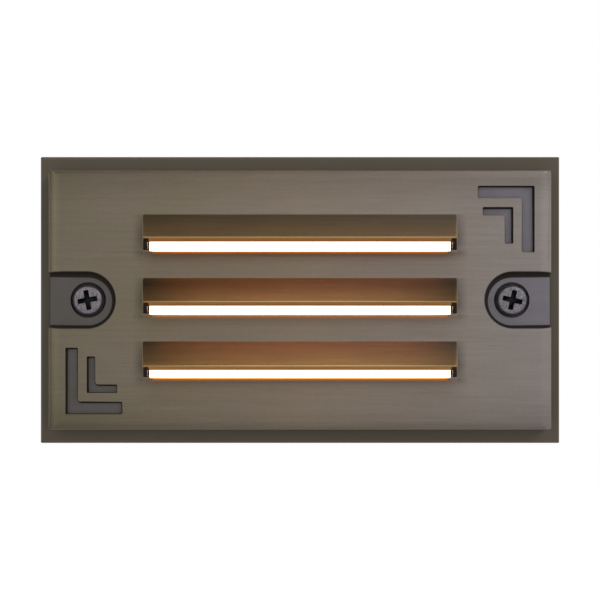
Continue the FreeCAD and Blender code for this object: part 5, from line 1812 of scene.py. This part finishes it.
@dataclass
class Studio:
    """The camera, the soft lamps and the pale floor."""

    camera_back: float = 354.0
    sensor: float = 36.0
    half_view: float = 0.23872
    floor_level: float = -180.0
    floor_radius: float = 900.0
    floor_lift: float = 0.45
    fill_strength: float = 0.6

    def _camera(self) -> None:
        """Set the level camera in front of the light."""
        lens = bpy.data.cameras.new("camera")
        lens.sensor_width = self.sensor
        lens.lens = self.sensor / (2 * self.half_view)
        lens.clip_start, lens.clip_end = 0.01, 20.0
        camera = bpy.data.objects.new("camera", lens)
        camera.location = (0, -self.camera_back * MM, 0)
        camera.rotation_euler = (math.pi / 2, 0, 0)
        bpy.context.scene.collection.objects.link(camera)
        bpy.context.scene.camera = camera

    def _lamp(self, name: str, place: Point, size: float, power: float, colour: str) -> None:
        """Hang one soft square lamp that faces the light.

        Args:
            name: its name.
            place: where it hangs, in metres.
            size: its side in metres.
            power: its power in watts.
            colour: its colour.
        """
        data = bpy.data.lights.new(name, "AREA")
        data.shape, data.size, data.energy = "SQUARE", size, power
        data.color = linear(colour)[:3]
        lamp = bpy.data.objects.new(name, data)
        lamp.location = place
        lamp.rotation_euler = (-Vector(place)).to_track_quat("-Z", "Y").to_euler()
        bpy.context.scene.collection.objects.link(lamp)

    def _prop(self, name: str, mesh: bmesh.types.BMesh, shader: Shader) -> bpy.types.Object:
        """Make a mesh a part of the studio.

        Args:
            name: its name.
            mesh: its mesh, which is freed.
            shader: its material's tree.

        Returns:
            The object.
        """
        data = bpy.data.meshes.new(name)
        mesh.to_mesh(data)
        mesh.free()
        data.materials.append(shader.material)
        prop = bpy.data.objects.new(name, data)
        bpy.context.scene.collection.objects.link(prop)
        return prop

    def _card(self, name: str, place: Point, size: tuple[float, float], colour: str) -> None:
        """Hang a card that only shows in reflections, as a photographer's flag does.

        Args:
            name: its name.
            place: where it hangs, in metres.
            size: its two sides in metres.
            colour: its colour.
        """
        mesh = bmesh.new()
        bmesh.ops.create_grid(mesh, x_segments=1, y_segments=1, size=0.5)
        bmesh.ops.scale(mesh, vec=(size[0], size[1], 1), verts=mesh.verts)
        turn = (-Vector(place)).to_track_quat("Z", "Y").to_matrix().to_4x4()
        bmesh.ops.transform(mesh, matrix=Matrix.Translation(place) @ turn, verts=mesh.verts)
        shader = Shader(name)
        shader.surface.inputs["Base Color"].default_value = linear(colour)
        shader.surface.inputs["Roughness"].default_value = 0.9
        card = self._prop(name, mesh, shader)
        card.visible_camera = card.visible_diffuse = card.visible_shadow = False

    def _floor(self) -> None:
        """Lay the pale floor, which shows white but keeps the object's shadow."""
        mesh = bmesh.new()
        bmesh.ops.create_circle(mesh, cap_ends=True, segments=96, radius=self.floor_radius * MM)
        bmesh.ops.translate(mesh, vec=(0, 0, self.floor_level * MM), verts=mesh.verts)
        shader = Shader("pale_floor")
        inputs = shader.surface.inputs
        inputs["Base Color"].default_value = linear("#e8e8e6")
        inputs["Roughness"].default_value = 0.8
        inputs["Emission Color"].default_value = linear("#ffffff")
        seen = shader.add("ShaderNodeLightPath").outputs["Is Camera Ray"]
        lift = shader.add("ShaderNodeMath", {0: seen}, {1: self.floor_lift}, operation="MULTIPLY")
        shader.tree.links.new(lift.outputs[0], inputs["Emission Strength"])
        floor = self._prop("floor", mesh, shader)

    def _world(self) -> None:
        """Make the air white to the eye and in reflections, and a soft fill for the rest."""
        world = bpy.data.worlds.new("soft_white")
        bpy.context.scene.world = world
        world.use_nodes = True
        air = Nodes(world.node_tree)
        rays = air.add("ShaderNodeLightPath").outputs
        seen = rays["Is Camera Ray"]
        for ray in ("Is Glossy Ray", "Is Transmission Ray"):
            seen = air.add("ShaderNodeMath", {0: seen, 1: rays[ray]}, operation="MAXIMUM").outputs[0]
        fill, white = [
            air.add("ShaderNodeBackground", None, {"Color": (1, 1, 1, 1), "Strength": strength})
            for strength in (self.fill_strength, 1.0)
        ]
        mixed = air.add("ShaderNodeMixShader", {0: seen, 1: fill.outputs[0], 2: white.outputs[0]})
        air.add("ShaderNodeOutputWorld", {0: mixed.outputs[0]})

    def build(self) -> None:
        """Set up the studio."""
        self._camera()
        self._world()
        self._floor()
        self._lamp("key", (0.75, -0.85, 0.75), 0.6, 7.0, "#fbf8ff")
        self._lamp("fill", (-0.9, -0.8, 0.3), 0.7, 2.5, "#fff8ea")
        self._card("top_flag", (0.0, -0.12, 0.42), (0.9, 0.6), "#93866a")
        self._card("left_flag", (-0.6, -0.2, 0.0), (0.5, 0.9), "#221f18")
        self._card("low_flag", (0.0, -0.25, -0.4), (0.9, 0.5), "#282114")
        bpy.context.scene.view_settings.view_transform = "Standard"


# ------------------------------------------------------------------ the light as a whole


LEADS = (
    Lead("output_lead_positive", insulation("lead_red", "#a32018"), (
        (-30.0, 26.3, 6.1), (-30.0, 20.7, 6.1), (-7.0, 20.7, 6.1), (-7.0, 10.0, 6.1), (1.7, 10.0, 6.1))),
    Lead("output_lead_negative", insulation("lead_black", "#1b1b1c"), (
        (-30.0, 26.3, 3.9), (-30.0, 20.7, 3.9), (-7.0, 20.7, 3.9), (-7.0, 10.0, 3.9), (1.7, 10.0, 3.9))),
    Lead("input_lead_line", insulation("lead_brown", "#5a3320"), (
        (-3.0, 33.5, 15.0), (-3.0, 33.5, 20.5), (11.2, 33.5, 20.5))),
    Lead("input_lead_neutral", insulation("lead_blue", "#1f4f9c"), (
        (-8.0, 33.5, 15.0), (-8.0, 33.5, 25.5), (11.2, 33.5, 25.5))),
)


def main() -> None:
    """Build the studio and the light, piece by piece."""
    logging.basicConfig(level=logging.INFO, format="%(name)s: %(message)s")
    for part in (
        Studio(), LouvredFace(), LensPack(), FaceScrews(), WallBox(), LightEngine(), Driver(),
        *LEADS, Terminals(), CableGland(),
    ):
        LOG.info("building %s", type(part).__name__)
        part.build()


if __name__ == "__main__":
    main()
